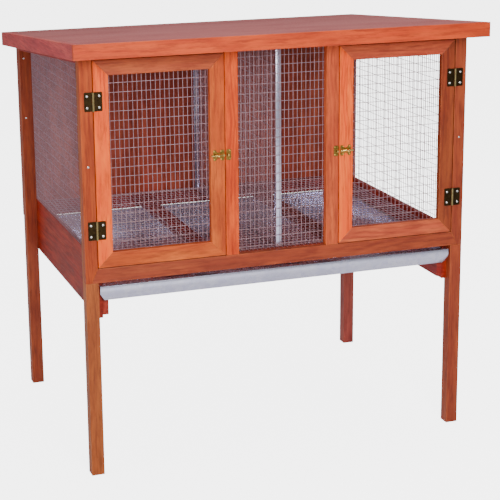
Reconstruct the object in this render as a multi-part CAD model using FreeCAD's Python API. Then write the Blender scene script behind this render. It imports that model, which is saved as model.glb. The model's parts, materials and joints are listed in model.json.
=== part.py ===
import FreeCAD, Part
import math
import os

from FreeCAD import Vector

# Raised outdoor rabbit hutch on four legs: timber frame, two mesh doors with butt hinges and
# barrel bolts, a mesh floor over a pull-out droppings tray, a mesh divider and a pent roof.
# Millimetres. +X to the right along the front, +Y towards the back, +Z up.
# Origin: centre of the overall box, on the ground.

# ---- driving dimensions ----
ROOF_W, ROOF_D = 1188.0, 960.0          # roof, over the fascia boards
ROOF_FRONT_H, ROOF_REAR_H = 1211.0, 1126.0
FASCIA_H, FASCIA_T = 41.0, 16.0
DECK_T, FELT_T = 12.0, 2.0

FRAME_W = 1126.0                        # over the outside faces of the legs
FRONT_Y = -402.0                        # front face of the front frame and the legs
FRAME_D = 810.0                         # front of the front legs to back of the rear legs
LEG = 36.0
FRAME_T = 20.0                          # front frame stock
STILE_W = 34.4
RAIL_Z0, RAIL_Z1 = 553.0, 593.0         # bottom rails of the front and the back
TOP_RAIL_Z = 1160.0
MITRE_FOOT = 16.0                       # where the lower mitre of the front frame starts
MULLION_LEFT = (-163.0, -126.0)
MULLION_RIGHT = (133.5, 170.5)
BACK_RAIL_TOP_Z = 1070.0
SIDE_RAIL_H = 40.0

DOOR_T = 18.0
DOOR_MEMBER = 41.0                      # face width of each door member
DOOR_LEFT = (-526.4, -165.0)
DOOR_RIGHT = (173.0, 526.4)
DOOR_Z = (594.8, 1156.4)
HINGE_AXIS_X = 527.5                    # each side of the centre
HINGE_ZS = (699.0, 1048.0)

WIRE = 1.6                              # welded mesh, 1 in by 1/2 in
PITCH_NARROW, PITCH_WIDE = 12.7, 25.4
LAYER_GAP = 0.05
MESH_LAP = 12.0                         # how far a mesh panel laps its frame
STAND_OFF = 0.1                         # mesh to timber

SKIRT_T = 15.0
SKIRT_Z = (447.0, 610.0)
SKIRT_Y = (-379.0, 406.0)
RUNNER_W = 16.0
RUNNER_Z = (455.0, 497.0)
LEDGER = (18.0, 20.0)                   # depth and height
BEARER_W, BEARER_H = 44.0, 20.0
BEARER_X = 188.0

BOARD_T = 12.0
BOARD_COUNT = 12
BOARD_GAP = 0.4
BOARD_BEVEL = 2.0
TONGUE_T, TONGUE_L = 4.0, 4.0
TONGUE_FIT = 0.3

TRAY_SHEET = 1.0
TRAY_Z = (497.3, 541.0)
TRAY_RIM_Z = 552.0                      # the sides and back stand up to here behind the apron
TRAY_RIM_STEP = (-362.0, -351.0)        # where the side walls step up
TRAY_Y = (-380.0, 373.0)
TRAY_HALF_TOP, TRAY_HALF_FLOOR = 509.0, 505.0
TRAY_FLOOR_INSET = 5.0                  # front and back walls lean in this much
APRON_HALF_W = 523.0
APRON_FACE_Y = -398.0
APRON_CREASE_Z = 527.0
APRON_FOOT = (-390.0, 500.0)
APRON_CORNER = (14.0, 20.0)             # cut off each lower corner

DIVIDER_CHANNEL_W, DIVIDER_CHANNEL_D, DIVIDER_SHEET = 16.0, 12.0, 1.2
DIVIDER_FRONT_Y, DIVIDER_REAR_Y = -378.0, 371.5

LEAF_W, LEAF_T, HINGE_H = 24.5, 1.2, 51.0
KNUCKLE_R, KNUCKLE_LIFT = 3.0, 3.1
PIN_R, PIN_FIT = 1.5, 0.06
KNUCKLE_GAP = 0.3
HINGE_SCREW = (16.4, 15.4)              # from the axis, and above and below the middle

BOLT_Z_LEFT, BOLT_Z_RIGHT = 878.0, 863.0
BOLT_PLATE = (-34.0, -2.0)              # along the bolt, from the door's edge
KEEPER_PLATE = (3.6, 17.6)
BOLT_PLATE_H, BOLT_PLATE_T = 30.0, 1.2
BOLT_R, BOLT_FIT, BOLT_LIFT = 3.0, 0.08, 4.6
BOLT_SPAN = (-39.5, -1.5)
STRAP_R, STRAP_W = 4.6, 4.0
DOOR_STRAPS = (-28.5, -7.0)
KEEPER_STRAP = 6.2
KNOB_X, KNOB_STEM_R, KNOB_R, KNOB_REACH = -21.8, 1.8, 3.6, 9.0

BIG_SCREW = {"head": 3.5, "dome": 1.6, "shank": 1.7, "length": 13.0}
SMALL_SCREW = {"head": 2.2, "dome": 1.0, "shank": 1.1, "length": 10.0}
FRAME_SCREW = {"head": 3.0, "dome": 0.8, "shank": 1.8, "length": 30.0}
PILOT_FIT = 0.03
STILE_SCREW_Z = 874.0
POST_SCREW_ZS = (870.0, 1056.0)
POST_SCREW_IN = 14.0                    # from the leg's outside face

# ---- derived places ----
HALF_W = FRAME_W / 2
REAR_Y = FRONT_Y + FRAME_D
POST_FRONT_Y = REAR_Y - LEG
LEG_IN = HALF_W - LEG
SKIRT_IN = LEG_IN - SKIRT_T
FRAME_BACK_Y = FRONT_Y + FRAME_T
ROOF_Y0 = -ROOF_D / 2
SLOPE = (ROOF_FRONT_H - ROOF_REAR_H) / ROOF_D
FLOOR_Z = RAIL_Z1 + 0.3
MESH_T = 2 * WIRE + LAYER_GAP


def roof_top(y):
    return ROOF_FRONT_H - (y - ROOF_Y0) * SLOPE


def deck_underside(y):
    return roof_top(y) - FELT_T - DECK_T


# ---- solids ----
def box(x, y, z):
    return Part.makeBox(x[1] - x[0], y[1] - y[0], z[1] - z[0], Vector(x[0], y[0], z[0]))


def extrude(points, direction):
    return Part.Face(Part.makePolygon(points + points[:1])).extrude(direction)


def prism_x(yz, x):
    return extrude([Vector(x[0], py, pz) for py, pz in yz], Vector(x[1] - x[0], 0, 0))


def prism_y(xz, y):
    return extrude([Vector(px, y[0], pz) for px, pz in xz], Vector(0, y[1] - y[0], 0))


def prism_z(xy, z):
    return extrude([Vector(px, py, z[0]) for px, py in xy], Vector(0, 0, z[1] - z[0]))


def rod(start, direction, radius, length):
    return Part.makeCylinder(radius, length, start, direction)


def under_roof(shape, clearance=0.0):
    """Cut a tall piece off along the underside of the roof deck."""
    y0, y1 = -ROOF_D, ROOF_D
    profile = [(y0, 0), (y1, 0), (y1, deck_underside(y1) - clearance),
               (y0, deck_underside(y0) - clearance)]
    return shape.common(prism_x(profile, (-ROOF_W, ROOF_W)))


def mirrored(shape):
    return shape.mirror(Vector(0, 0, 0), Vector(1, 0, 0))


def group(shapes):
    return Part.makeCompound(shapes)


# ---- screws: each is placed by the middle of its seat and points into the timber (+Y) ----
def screw(seat, spec):
    dome_r = (spec["head"] ** 2 + spec["dome"] ** 2) / (2 * spec["dome"])
    ball = Part.makeSphere(dome_r, seat + Vector(0, dome_r - spec["dome"], 0))
    cap = ball.common(rod(seat - Vector(0, spec["dome"], 0), Vector(0, 1, 0), spec["head"], spec["dome"]))
    return cap.fuse(rod(seat, Vector(0, 1, 0), spec["shank"], spec["length"])).removeSplitter()


def drilled(shape, seats, spec):
    """Clear a pilot hole for each screw, open towards the front."""
    for seat in seats:
        shape = shape.cut(rod(seat - Vector(0, 6, 0), Vector(0, 1, 0), spec["shank"] + PILOT_FIT,
                              spec["length"] + 6.5))
    return shape


# ---- welded wire mesh: square bars in two layers ----
def wire_positions(span, pitch):
    inner = span[1] - span[0] - WIRE
    count = int(inner // pitch)
    start = span[0] + WIRE / 2 + (inner - count * pitch) / 2
    return [start + i * pitch for i in range(count + 1)]


def bar(spans):
    return box(spans["x"], spans["y"], spans["z"])


def welded_mesh(long_axis, long_span, cross_axis, cross_span, layer_axis, layer_start):
    """Long wires stand close together, cross wires twice as far apart."""
    front = (layer_start, layer_start + WIRE)
    back = (front[1] + LAYER_GAP, front[1] + LAYER_GAP + WIRE)
    wires = []
    for c in wire_positions(cross_span, PITCH_NARROW):
        wires.append(bar({long_axis: long_span, cross_axis: (c - WIRE / 2, c + WIRE / 2),
                          layer_axis: front}))
    for c in wire_positions(long_span, PITCH_WIDE):
        wires.append(bar({cross_axis: cross_span, long_axis: (c - WIRE / 2, c + WIRE / 2),
                          layer_axis: back}))
    return wires


def sloping_mesh(x_start, y_span, z_start):
    """A side-on panel whose top follows the roof."""
    top = max(deck_underside(y_span[0]), deck_underside(y_span[1]))
    wires = welded_mesh("z", (z_start, top), "y", y_span, "x", x_start)
    cut = [under_roof(wire, STAND_OFF) for wire in wires]
    return group([w.Solids[0] for w in cut if w.Solids])


# ---- front frame, legs and rails ----
def front_leg():
    foot = box((-HALF_W, -LEG_IN), (FRONT_Y, FRONT_Y + LEG), (0, RAIL_Z0))
    post = box((-HALF_W, -LEG_IN), (FRAME_BACK_Y, FRONT_Y + LEG), (RAIL_Z0, ROOF_FRONT_H))
    return drilled(under_roof(foot.fuse(post).removeSplitter()), stile_screw_seats()[:1], FRAME_SCREW)


def rear_leg():
    leg = box((-HALF_W, -LEG_IN), (POST_FRONT_Y, REAR_Y), (0, ROOF_FRONT_H))
    return drilled(under_roof(leg), post_screw_seats()[:2], FRAME_SCREW)


def front_stile():
    inner = -HALF_W + STILE_W
    outline = [(-HALF_W, RAIL_Z0), (-HALF_W + MITRE_FOOT, RAIL_Z0), (inner, RAIL_Z1),
               (inner, ROOF_FRONT_H), (-HALF_W, ROOF_FRONT_H)]
    stile = under_roof(prism_y(outline, (FRONT_Y, FRAME_BACK_Y)))
    stile = drilled(stile, hinge_seats(-1), BIG_SCREW)
    return drilled(stile, stile_screw_seats()[:1], FRAME_SCREW)


def front_rail_bottom():
    foot, inner = HALF_W - MITRE_FOOT, HALF_W - STILE_W
    outline = [(-foot, RAIL_Z0), (foot, RAIL_Z0), (inner, RAIL_Z1), (-inner, RAIL_Z1)]
    return prism_y(outline, (FRONT_Y, FRAME_BACK_Y))


def front_rail_top():
    inner = HALF_W - STILE_W
    return under_roof(box((-inner, inner), (FRONT_Y, FRAME_BACK_Y), (TOP_RAIL_Z, ROOF_FRONT_H)))


def mullion(x, keeper_seats):
    post = box(x, (FRONT_Y, FRAME_BACK_Y), (RAIL_Z1, TOP_RAIL_Z))
    return drilled(post, keeper_seats, SMALL_SCREW)


def side_rail():
    top0, top1 = deck_underside(FRONT_Y + LEG), deck_underside(POST_FRONT_Y)
    profile = [(FRONT_Y + LEG, top0 - SIDE_RAIL_H), (POST_FRONT_Y, top1 - SIDE_RAIL_H),
               (POST_FRONT_Y, top1), (FRONT_Y + LEG, top0)]
    return prism_x(profile, (-HALF_W, -LEG_IN))


def rear_rail(half_length, z):
    return under_roof(box((-half_length, half_length), (POST_FRONT_Y, REAR_Y), z))


def skirt():
    return box((-LEG_IN, -SKIRT_IN), SKIRT_Y, SKIRT_Z)


def runner():
    return box((-SKIRT_IN, -SKIRT_IN + RUNNER_W), SKIRT_Y, RUNNER_Z)


def floor_ledger():
    y = (FRAME_BACK_Y, FRAME_BACK_Y + LEDGER[0])
    return box((-SKIRT_IN, SKIRT_IN), y, (RAIL_Z1 - LEDGER[1], RAIL_Z1))


def floor_bearers():
    y = (FRAME_BACK_Y + LEDGER[0], POST_FRONT_Y)
    return group([box((x - BEARER_W / 2, x + BEARER_W / 2), y, (RAIL_Z1 - BEARER_H, RAIL_Z1))
                  for x in (-BEARER_X, BEARER_X)])


def floor_mesh():
    half = SKIRT_IN - 0.5
    return group(welded_mesh("y", (FRAME_BACK_Y + 1.0, REAR_Y - 1.0), "x", (-half, half), "z", FLOOR_Z))


# ---- back wall: tongue-and-groove boards ----
def back_board(index):
    pitch = FRAME_W / BOARD_COUNT
    x0 = -HALF_W + index * pitch + BOARD_GAP / 2
    x1 = x0 + pitch - BOARD_GAP
    y0, y1 = REAR_Y, REAR_Y + BOARD_T
    outline = [(x0, y0 + BOARD_BEVEL), (x0 + BOARD_BEVEL, y0), (x1 - BOARD_BEVEL, y0),
               (x1, y0 + BOARD_BEVEL), (x1, y1 - BOARD_BEVEL), (x1 - BOARD_BEVEL, y1),
               (x0 + BOARD_BEVEL, y1), (x0, y1 - BOARD_BEVEL)]
    z = (RAIL_Z0, ROOF_FRONT_H)
    board = prism_z(outline, z)
    middle = (y0 + y1) / 2
    if index < BOARD_COUNT - 1:
        tongue = (middle - TONGUE_T / 2, middle + TONGUE_T / 2)
        board = board.fuse(box((x1 - 1, x1 + TONGUE_L), tongue, z))
    if index > 0:
        half_groove = TONGUE_T / 2 + TONGUE_FIT
        groove = (middle - half_groove, middle + half_groove)
        board = board.cut(box((x0 - 1, x0 + TONGUE_L + TONGUE_FIT), groove, z))
    return under_roof(board.removeSplitter())


def back_boards():
    return group([back_board(i) for i in range(BOARD_COUNT)])


# ---- roof ----
def roof_slab(x, y, top, thickness):
    profile = [(y[0], roof_top(y[0]) - top - thickness), (y[1], roof_top(y[1]) - top - thickness),
               (y[1], roof_top(y[1]) - top), (y[0], roof_top(y[0]) - top)]
    return prism_x(profile, x)


def roof_parts():
    half_w, half_d = ROOF_W / 2, ROOF_D / 2
    in_w, in_d = half_w - FASCIA_T, half_d - FASCIA_T
    side = roof_slab((-half_w, -in_w), (-in_d, in_d), 0, FASCIA_H)
    return {
        "roof_deck": roof_slab((-in_w, in_w), (-in_d, in_d), FELT_T, DECK_T),
        "roof_felt": roof_slab((-in_w, in_w), (-in_d, in_d), 0, FELT_T),
        "roof_fascia_front": roof_slab((-half_w, half_w), (-half_d, -in_d), 0, FASCIA_H),
        "roof_fascia_rear": roof_slab((-half_w, half_w), (in_d, half_d), 0, FASCIA_H),
        "roof_fascia_left": side,
        "roof_fascia_right": mirrored(side),
    }


# ---- divider between the two compartments ----
def divider_mesh():
    y = (DIVIDER_FRONT_Y + DIVIDER_SHEET + 0.2, DIVIDER_REAR_Y - DIVIDER_SHEET - 0.2)
    return sloping_mesh(-MESH_T / 2, y, FLOOR_Z + MESH_T + 0.2)


def channel(y_web, y_open):
    """A folded U: the web faces out and the mesh edge sits between the flanges."""
    half = DIVIDER_CHANNEL_W / 2
    step = math.copysign(DIVIDER_SHEET, y_open - y_web)
    outline = [(-half, y_web), (half, y_web), (half, y_open), (half - DIVIDER_SHEET, y_open),
               (half - DIVIDER_SHEET, y_web + step), (-half + DIVIDER_SHEET, y_web + step),
               (-half + DIVIDER_SHEET, y_open), (-half, y_open)]
    return under_roof(prism_z(outline, (FLOOR_Z + MESH_T + 0.1, ROOF_FRONT_H)))


def divider_channels():
    return group([channel(DIVIDER_FRONT_Y, DIVIDER_FRONT_Y + DIVIDER_CHANNEL_D),
                  channel(DIVIDER_REAR_Y, DIVIDER_REAR_Y - DIVIDER_CHANNEL_D)])


# ---- droppings tray ----
def rectangle(half_x, y, z):
    corners = [(-half_x, y[0]), (half_x, y[0]), (half_x, y[1]), (-half_x, y[1]), (-half_x, y[0])]
    return Part.makePolygon([Vector(cx, cy, z) for cx, cy in corners])


def pan(shrink, z):
    floor_y = (TRAY_Y[0] + TRAY_FLOOR_INSET + shrink, TRAY_Y[1] - TRAY_FLOOR_INSET - shrink)
    rim_y = (TRAY_Y[0] + shrink, TRAY_Y[1] - shrink)
    lower = rectangle(TRAY_HALF_FLOOR - shrink, floor_y, z[0])
    upper = rectangle(TRAY_HALF_TOP - shrink, rim_y, z[1])
    return Part.makeLoft([lower, upper], True, True)


def tray_upstand():
    """The upright part of the side and back walls, above the leaning part."""
    low, high, back = TRAY_Z[1], TRAY_RIM_Z, TRAY_Y[1]
    start, end = TRAY_RIM_STEP
    profile = [(start, low), (back, low), (back, high), (end, high)]
    inner = TRAY_HALF_TOP - TRAY_SHEET
    solid = prism_x(profile, (-TRAY_HALF_TOP, TRAY_HALF_TOP))
    return solid.cut(box((-inner, inner), (start - 1, back - TRAY_SHEET), (low - 1, high + 1)))


def tray():
    body = pan(0, TRAY_Z).cut(pan(TRAY_SHEET, (TRAY_Z[0] + TRAY_SHEET, TRAY_Z[1] + 0.01)))
    body = body.fuse(tray_upstand())
    y0, s, top = APRON_FACE_Y, TRAY_SHEET, TRAY_Z[1]
    profile = [(TRAY_Y[0] + s, top), (y0, top), (y0, APRON_CREASE_Z), APRON_FOOT,
               (APRON_FOOT[0] + s, APRON_FOOT[1]), (y0 + s, APRON_CREASE_Z),
               (y0 + s, top - s), (TRAY_Y[0] + s, top - s)]
    apron = prism_x(profile, (-APRON_HALF_W, APRON_HALF_W))
    cut_x, cut_z = APRON_CORNER
    for side in (-1, 1):
        edge = side * APRON_HALF_W
        corner = [(edge, APRON_FOOT[1] - 1), (edge - side * cut_x, APRON_FOOT[1] - 1),
                  (edge, APRON_FOOT[1] + cut_z)]
        apron = apron.cut(prism_y(corner, (APRON_FACE_Y - 1, TRAY_Y[0] - 0.5)))
    return body.fuse(apron).removeSplitter()


# ---- doors ----
def mitred_members(x, z):
    """Left and right stiles, then top and bottom rails, of one picture-frame door."""
    w = DOOR_MEMBER
    y = (FRONT_Y, FRONT_Y + DOOR_T)
    inner_x, inner_z = (x[0] + w, x[1] - w), (z[0] + w, z[1] - w)
    left = [(x[0], z[0]), (inner_x[0], inner_z[0]), (inner_x[0], inner_z[1]), (x[0], z[1])]
    right = [(x[1], z[0]), (x[1], z[1]), (inner_x[1], inner_z[1]), (inner_x[1], inner_z[0])]
    top = [(x[0], z[1]), (inner_x[0], inner_z[1]), (inner_x[1], inner_z[1]), (x[1], z[1])]
    bottom = [(x[0], z[0]), (x[1], z[0]), (inner_x[1], inner_z[0]), (inner_x[0], inner_z[0])]
    return [prism_y(outline, y) for outline in (left, right, top, bottom)]


def door_mesh(x):
    lap = DOOR_MEMBER - MESH_LAP
    return group(welded_mesh("z", (DOOR_Z[0] + lap, DOOR_Z[1] - lap), "x", (x[0] + lap, x[1] - lap),
                             "y", FRONT_Y + DOOR_T + STAND_OFF))


def centre_mesh():
    x = (MULLION_LEFT[1] - MESH_LAP, MULLION_RIGHT[0] + MESH_LAP)
    z = (FLOOR_Z + MESH_T + 0.2, TOP_RAIL_Z + MESH_LAP)
    return group(welded_mesh("z", z, "x", x, "y", FRAME_BACK_Y + STAND_OFF))


# ---- butt hinges, drawn for the left door ----
def hinge_seats(side):
    """Screw seats on the left door's hinges: side -1 is the frame leaf, 1 the door leaf."""
    dx, dz = HINGE_SCREW
    return [Vector(-HINGE_AXIS_X + side * dx, FRONT_Y - LEAF_T, z + up * dz)
            for z in HINGE_ZS for up in (-1, 1)]


def leaf(z, side):
    """side -1: frame leaf with the two outer knuckles; side 1: door leaf with the middle one."""
    third = HINGE_H / 3
    axis_x, axis_y = -HINGE_AXIS_X, FRONT_Y - KNUCKLE_LIFT
    if side < 0:
        knuckles = [(z - HINGE_H / 2, third), (z + HINGE_H / 2 - third, third)]
        relief = [(z - third / 2 - KNUCKLE_GAP / 2, z + third / 2 + KNUCKLE_GAP / 2)]
    else:
        knuckles = [(z - third / 2 + KNUCKLE_GAP / 2, third - KNUCKLE_GAP)]
        relief = [(z - HINGE_H, z - third / 2 + KNUCKLE_GAP / 2),
                  (z + third / 2 - KNUCKLE_GAP / 2, z + HINGE_H)]
    edges = sorted((axis_x + side * 0.6, axis_x + side * LEAF_W))
    plate = box(edges, (FRONT_Y - LEAF_T, FRONT_Y), (z - HINGE_H / 2, z + HINGE_H / 2))
    near = sorted((axis_x, axis_x + side * (KNUCKLE_R + 0.4)))
    for span in relief:
        plate = plate.cut(box(near, (FRONT_Y - LEAF_T - 1, FRONT_Y + 1), span))
    bore = PIN_R if side < 0 else PIN_R + PIN_FIT
    for start, length in knuckles:
        plate = plate.fuse(rod(Vector(axis_x, axis_y, start), Vector(0, 0, 1), KNUCKLE_R, length))
    plate = plate.cut(rod(Vector(axis_x, axis_y, z - HINGE_H), Vector(0, 0, 1), bore, 2 * HINGE_H))
    seats = [s for s in hinge_seats(side) if abs(s.z - z) < HINGE_H]
    return drilled(plate.removeSplitter(), seats, BIG_SCREW)


def leaves(side):
    return group([leaf(z, side) for z in HINGE_ZS])


def hinge_pins():
    pins = [rod(Vector(-HINGE_AXIS_X, FRONT_Y - KNUCKLE_LIFT, z - HINGE_H / 2), Vector(0, 0, 1),
                PIN_R, HINGE_H) for z in HINGE_ZS]
    return group(pins + [mirrored(p) for p in pins])


# ---- barrel bolts: drawn with the door's edge at X = 0 and its bolt sliding towards +X ----
def plate_seats(xs, rise):
    return [Vector(x, -BOLT_PLATE_T, up * rise) for x in xs for up in (-1, 1)]


DOOR_PLATE_SEATS = plate_seats((-31.0, -11.0), 11.0)
KEEPER_SEATS = plate_seats((14.0,), 11.0)


def bolt_plate(span, straps, seats):
    half = BOLT_PLATE_H / 2
    plate = box(span, (-BOLT_PLATE_T, 0), (-half, half))
    for start in straps:
        strap = rod(Vector(start, -BOLT_LIFT, 0), Vector(1, 0, 0), STRAP_R, STRAP_W)
        web = box((start, start + STRAP_W), (-BOLT_LIFT, -BOLT_PLATE_T / 2), (-STRAP_R, STRAP_R))
        plate = plate.fuse(strap).fuse(web)
    plate = plate.removeSplitter()
    plate = plate.cut(rod(Vector(-100, -BOLT_LIFT, 0), Vector(1, 0, 0), BOLT_R + BOLT_FIT, 200))
    return drilled(plate, seats, SMALL_SCREW)


def bolt():
    bar_ = rod(Vector(BOLT_SPAN[0], -BOLT_LIFT, 0), Vector(1, 0, 0), BOLT_R, BOLT_SPAN[1] - BOLT_SPAN[0])
    stem = rod(Vector(KNOB_X, -BOLT_LIFT, 0), Vector(0, -1, 0), KNOB_STEM_R, KNOB_REACH)
    knob = Part.makeSphere(KNOB_R, Vector(KNOB_X, -BOLT_LIFT - KNOB_REACH, 0))
    return bar_.fuse(stem).fuse(knob).removeSplitter()


def on_left(shape):
    return shape.translated(Vector(DOOR_LEFT[1], FRONT_Y, BOLT_Z_LEFT))


def on_right(shape):
    return mirrored(shape).translated(Vector(DOOR_RIGHT[0], FRONT_Y, BOLT_Z_RIGHT))


def left_seats(seats):
    return [s + Vector(DOOR_LEFT[1], FRONT_Y, BOLT_Z_LEFT) for s in seats]


def right_seats(seats):
    return [Vector(DOOR_RIGHT[0] - s.x, s.y + FRONT_Y, s.z + BOLT_Z_RIGHT) for s in seats]


# ---- frame screws ----
def stile_screw_seats():
    x = HALF_W - STILE_W / 2
    return [Vector(-x, FRONT_Y, STILE_SCREW_Z), Vector(x, FRONT_Y, STILE_SCREW_Z)]


def post_screw_seats():
    x = HALF_W - POST_SCREW_IN
    return [Vector(s * x, POST_FRONT_Y, z) for s in (-1, 1) for z in POST_SCREW_ZS]


def mirrored_seats(seats):
    return [Vector(-s.x, s.y, s.z) for s in seats]


def door_nodes(side, x, seats_on_door, place):
    """The parts that swing with one door, apart from its sliding bolt."""
    left, right, top, bottom = mitred_members(x, DOOR_Z)
    hinge_member, latch_member = (left, right) if side == "left" else (right, left)
    hinge_screws = hinge_seats(1) if side == "left" else mirrored_seats(hinge_seats(1))
    hung = leaves(1) if side == "left" else mirrored(leaves(1))
    screws = [screw(s, BIG_SCREW) for s in hinge_screws] + [screw(s, SMALL_SCREW) for s in seats_on_door]
    prefix = "door_" + side
    return {
        prefix + "_hinge_stile": drilled(hinge_member, hinge_screws, BIG_SCREW),
        prefix + "_latch_stile": drilled(latch_member, seats_on_door, SMALL_SCREW),
        prefix + "_top_rail": top,
        prefix + "_bottom_rail": bottom,
        prefix + "_mesh": door_mesh(x),
        prefix + "_hinge_leaves": hung,
        prefix + "_screws": group(screws),
        prefix + "_bolt_plate": place(bolt_plate(BOLT_PLATE, DOOR_STRAPS, DOOR_PLATE_SEATS)),
        prefix + "_bolt": place(bolt()),
    }


def frame_nodes():
    keeper = bolt_plate(KEEPER_PLATE, (KEEPER_STRAP,), KEEPER_SEATS)
    keepers = left_seats(KEEPER_SEATS) + right_seats(KEEPER_SEATS)
    hinge_screws = hinge_seats(-1) + mirrored_seats(hinge_seats(-1))
    hardware = [screw(s, BIG_SCREW) for s in hinge_screws] + [screw(s, SMALL_SCREW) for s in keepers]
    side_mesh_y = (FRAME_BACK_Y + 2.0, POST_FRONT_Y - 0.3)
    side_mesh = sloping_mesh(-LEG_IN + STAND_OFF, side_mesh_y, SKIRT_Z[1] + 0.5)
    nodes = {
        "front_rail_bottom": front_rail_bottom(),
        "front_rail_top": front_rail_top(),
        "mullion_left": mullion(MULLION_LEFT, left_seats(KEEPER_SEATS)),
        "mullion_right": mullion(MULLION_RIGHT, right_seats(KEEPER_SEATS)),
        "centre_mesh": centre_mesh(),
        "rear_rail_bottom": rear_rail(SKIRT_IN, (RAIL_Z0, RAIL_Z1)),
        "rear_rail_top": rear_rail(LEG_IN, (BACK_RAIL_TOP_Z, ROOF_FRONT_H)),
        "back_boards": back_boards(),
        "floor_mesh": floor_mesh(),
        "floor_ledger": floor_ledger(),
        "floor_bearers": floor_bearers(),
        "divider_mesh": divider_mesh(),
        "divider_channels": divider_channels(),
        "tray": tray(),
        "hinge_pins": hinge_pins(),
        "hardware_screws": group(hardware),
        "frame_screws": group([screw(s, FRAME_SCREW) for s in stile_screw_seats() + post_screw_seats()]),
        "bolt_keeper_left": on_left(keeper),
        "bolt_keeper_right": on_right(keeper),
    }
    handed = {"leg_front": front_leg(), "leg_rear": rear_leg(), "front_stile": front_stile(),
              "side_rail": side_rail(), "side_skirt": skirt(), "side_mesh": side_mesh,
              "tray_runner": runner(), "frame_hinge_leaves": leaves(-1)}
    for name, shape in handed.items():
        nodes[name + "_left"] = shape
        nodes[name + "_right"] = mirrored(shape)
    return nodes


def main():
    os.makedirs("parts", exist_ok=True)
    nodes = frame_nodes()
    nodes.update(roof_parts())
    nodes.update(door_nodes("left", DOOR_LEFT, left_seats(DOOR_PLATE_SEATS), on_left))
    nodes.update(door_nodes("right", DOOR_RIGHT, right_seats(DOOR_PLATE_SEATS), on_right))
    for name, shape in nodes.items():
        shape.exportStep(f"parts/{name}.step")
        print(name, len(shape.Solids), "solids", round(shape.Volume / 1000, 2), "cm3",
              "valid" if shape.isValid() else "INVALID")
    print(len(nodes), "nodes")


main()
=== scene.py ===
"""Looks of a raised rabbit hutch.

Stained softwood, welded wire, a galvanised droppings tray and brass ironmongery are built round
the fixed frame. Metres; +X to the right along the front, +Y to the back, +Z up.
"""

import json
import logging
import math
import random
from collections.abc import Iterable, Sequence
from dataclasses import dataclass, field
from enum import Enum
from typing import Any

import bmesh
import bpy
from mathutils import Matrix, Vector

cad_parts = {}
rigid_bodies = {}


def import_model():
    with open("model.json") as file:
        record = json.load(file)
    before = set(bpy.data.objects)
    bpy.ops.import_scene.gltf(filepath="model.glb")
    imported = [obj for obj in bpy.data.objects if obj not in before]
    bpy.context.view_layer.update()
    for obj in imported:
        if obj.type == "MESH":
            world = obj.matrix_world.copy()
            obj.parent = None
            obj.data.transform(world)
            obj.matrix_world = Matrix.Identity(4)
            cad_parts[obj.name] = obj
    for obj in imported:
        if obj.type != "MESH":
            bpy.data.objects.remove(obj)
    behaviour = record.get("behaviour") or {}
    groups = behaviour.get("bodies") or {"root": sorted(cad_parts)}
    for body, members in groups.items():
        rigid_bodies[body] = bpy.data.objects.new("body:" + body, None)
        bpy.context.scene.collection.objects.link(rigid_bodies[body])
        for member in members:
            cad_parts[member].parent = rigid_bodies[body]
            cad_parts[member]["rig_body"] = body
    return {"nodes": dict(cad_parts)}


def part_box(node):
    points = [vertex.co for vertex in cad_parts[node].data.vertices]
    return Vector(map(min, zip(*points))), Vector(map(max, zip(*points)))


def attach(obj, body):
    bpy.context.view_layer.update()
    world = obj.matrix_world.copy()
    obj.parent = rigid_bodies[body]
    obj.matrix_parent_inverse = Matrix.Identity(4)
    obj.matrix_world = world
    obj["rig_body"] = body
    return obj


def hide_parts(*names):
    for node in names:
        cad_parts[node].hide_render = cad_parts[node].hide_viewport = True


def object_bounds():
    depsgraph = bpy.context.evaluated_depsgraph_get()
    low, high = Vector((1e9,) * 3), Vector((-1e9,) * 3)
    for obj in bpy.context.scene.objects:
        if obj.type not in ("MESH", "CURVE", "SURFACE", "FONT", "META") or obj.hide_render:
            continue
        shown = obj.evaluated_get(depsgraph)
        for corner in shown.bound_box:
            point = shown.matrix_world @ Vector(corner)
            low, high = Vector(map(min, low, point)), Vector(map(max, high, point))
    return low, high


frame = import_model()
CAD_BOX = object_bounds()

LOG = logging.getLogger("hutch")
MM = 0.001
SIDES = ("left", "right")
HANDS = {"left": 1, "right": -1}
UP = Vector((0.0, 0.0, 1.0))

SAME_CORNER = 2e-6
SAME_PLANE = math.radians(0.4)
METAL_SMOOTH = 40.0
SMALL_SMOOTH = 35.0

Triple = tuple[float, float, float]
Colour = Triple
Pair = tuple[float, float]


class Axis(Enum):
    """A direction of the row frame."""

    X = 0
    Y = 1
    Z = 2

    def unit(self) -> Vector:
        """The axis as a unit vector."""
        return Vector([float(i == self.value) for i in range(3)])


class Slot(Enum):
    """A name for a group of finishes."""

    FRAME = "frame_timber"
    DOOR = "door_timber"
    INNER = "inner_timber"
    ROOF = "roof_board"
    FELT = "roof_felt"
    WIRE = "mesh_wire"
    SHEET = "galvanised_sheet"
    HINGE = "hinge_brass"
    BOLT = "bolt_brass"
    SCREW = "screw_zinc"


class Cast(Enum):
    """How a board's colour is shifted: how pale, how orange and how rosy, each from -1 to 1. The shift
    holds how the board's stain came out together with painted light and shade.
    """

    PALE = (1.0, -0.2, -0.1)
    FAIR = (0.5, -0.1, 0.2)
    EVEN = (0.0, 0.0, 0.0)
    ROSY = (-0.1, -0.2, 0.4)
    DEEP = (-0.3, -0.1, 0.3)
    DARK = (-0.7, -0.1, 0.2)
    AMBER = (-0.2, 0.5, 0.3)
    WINE = (-0.1, -0.6, 1.0)
    RUSSET = (-0.1, 0.1, -0.4)
    CHESTNUT = (0.4, 0.5, 0.5)


# ---------------------------------------------------------------- node trees


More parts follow.
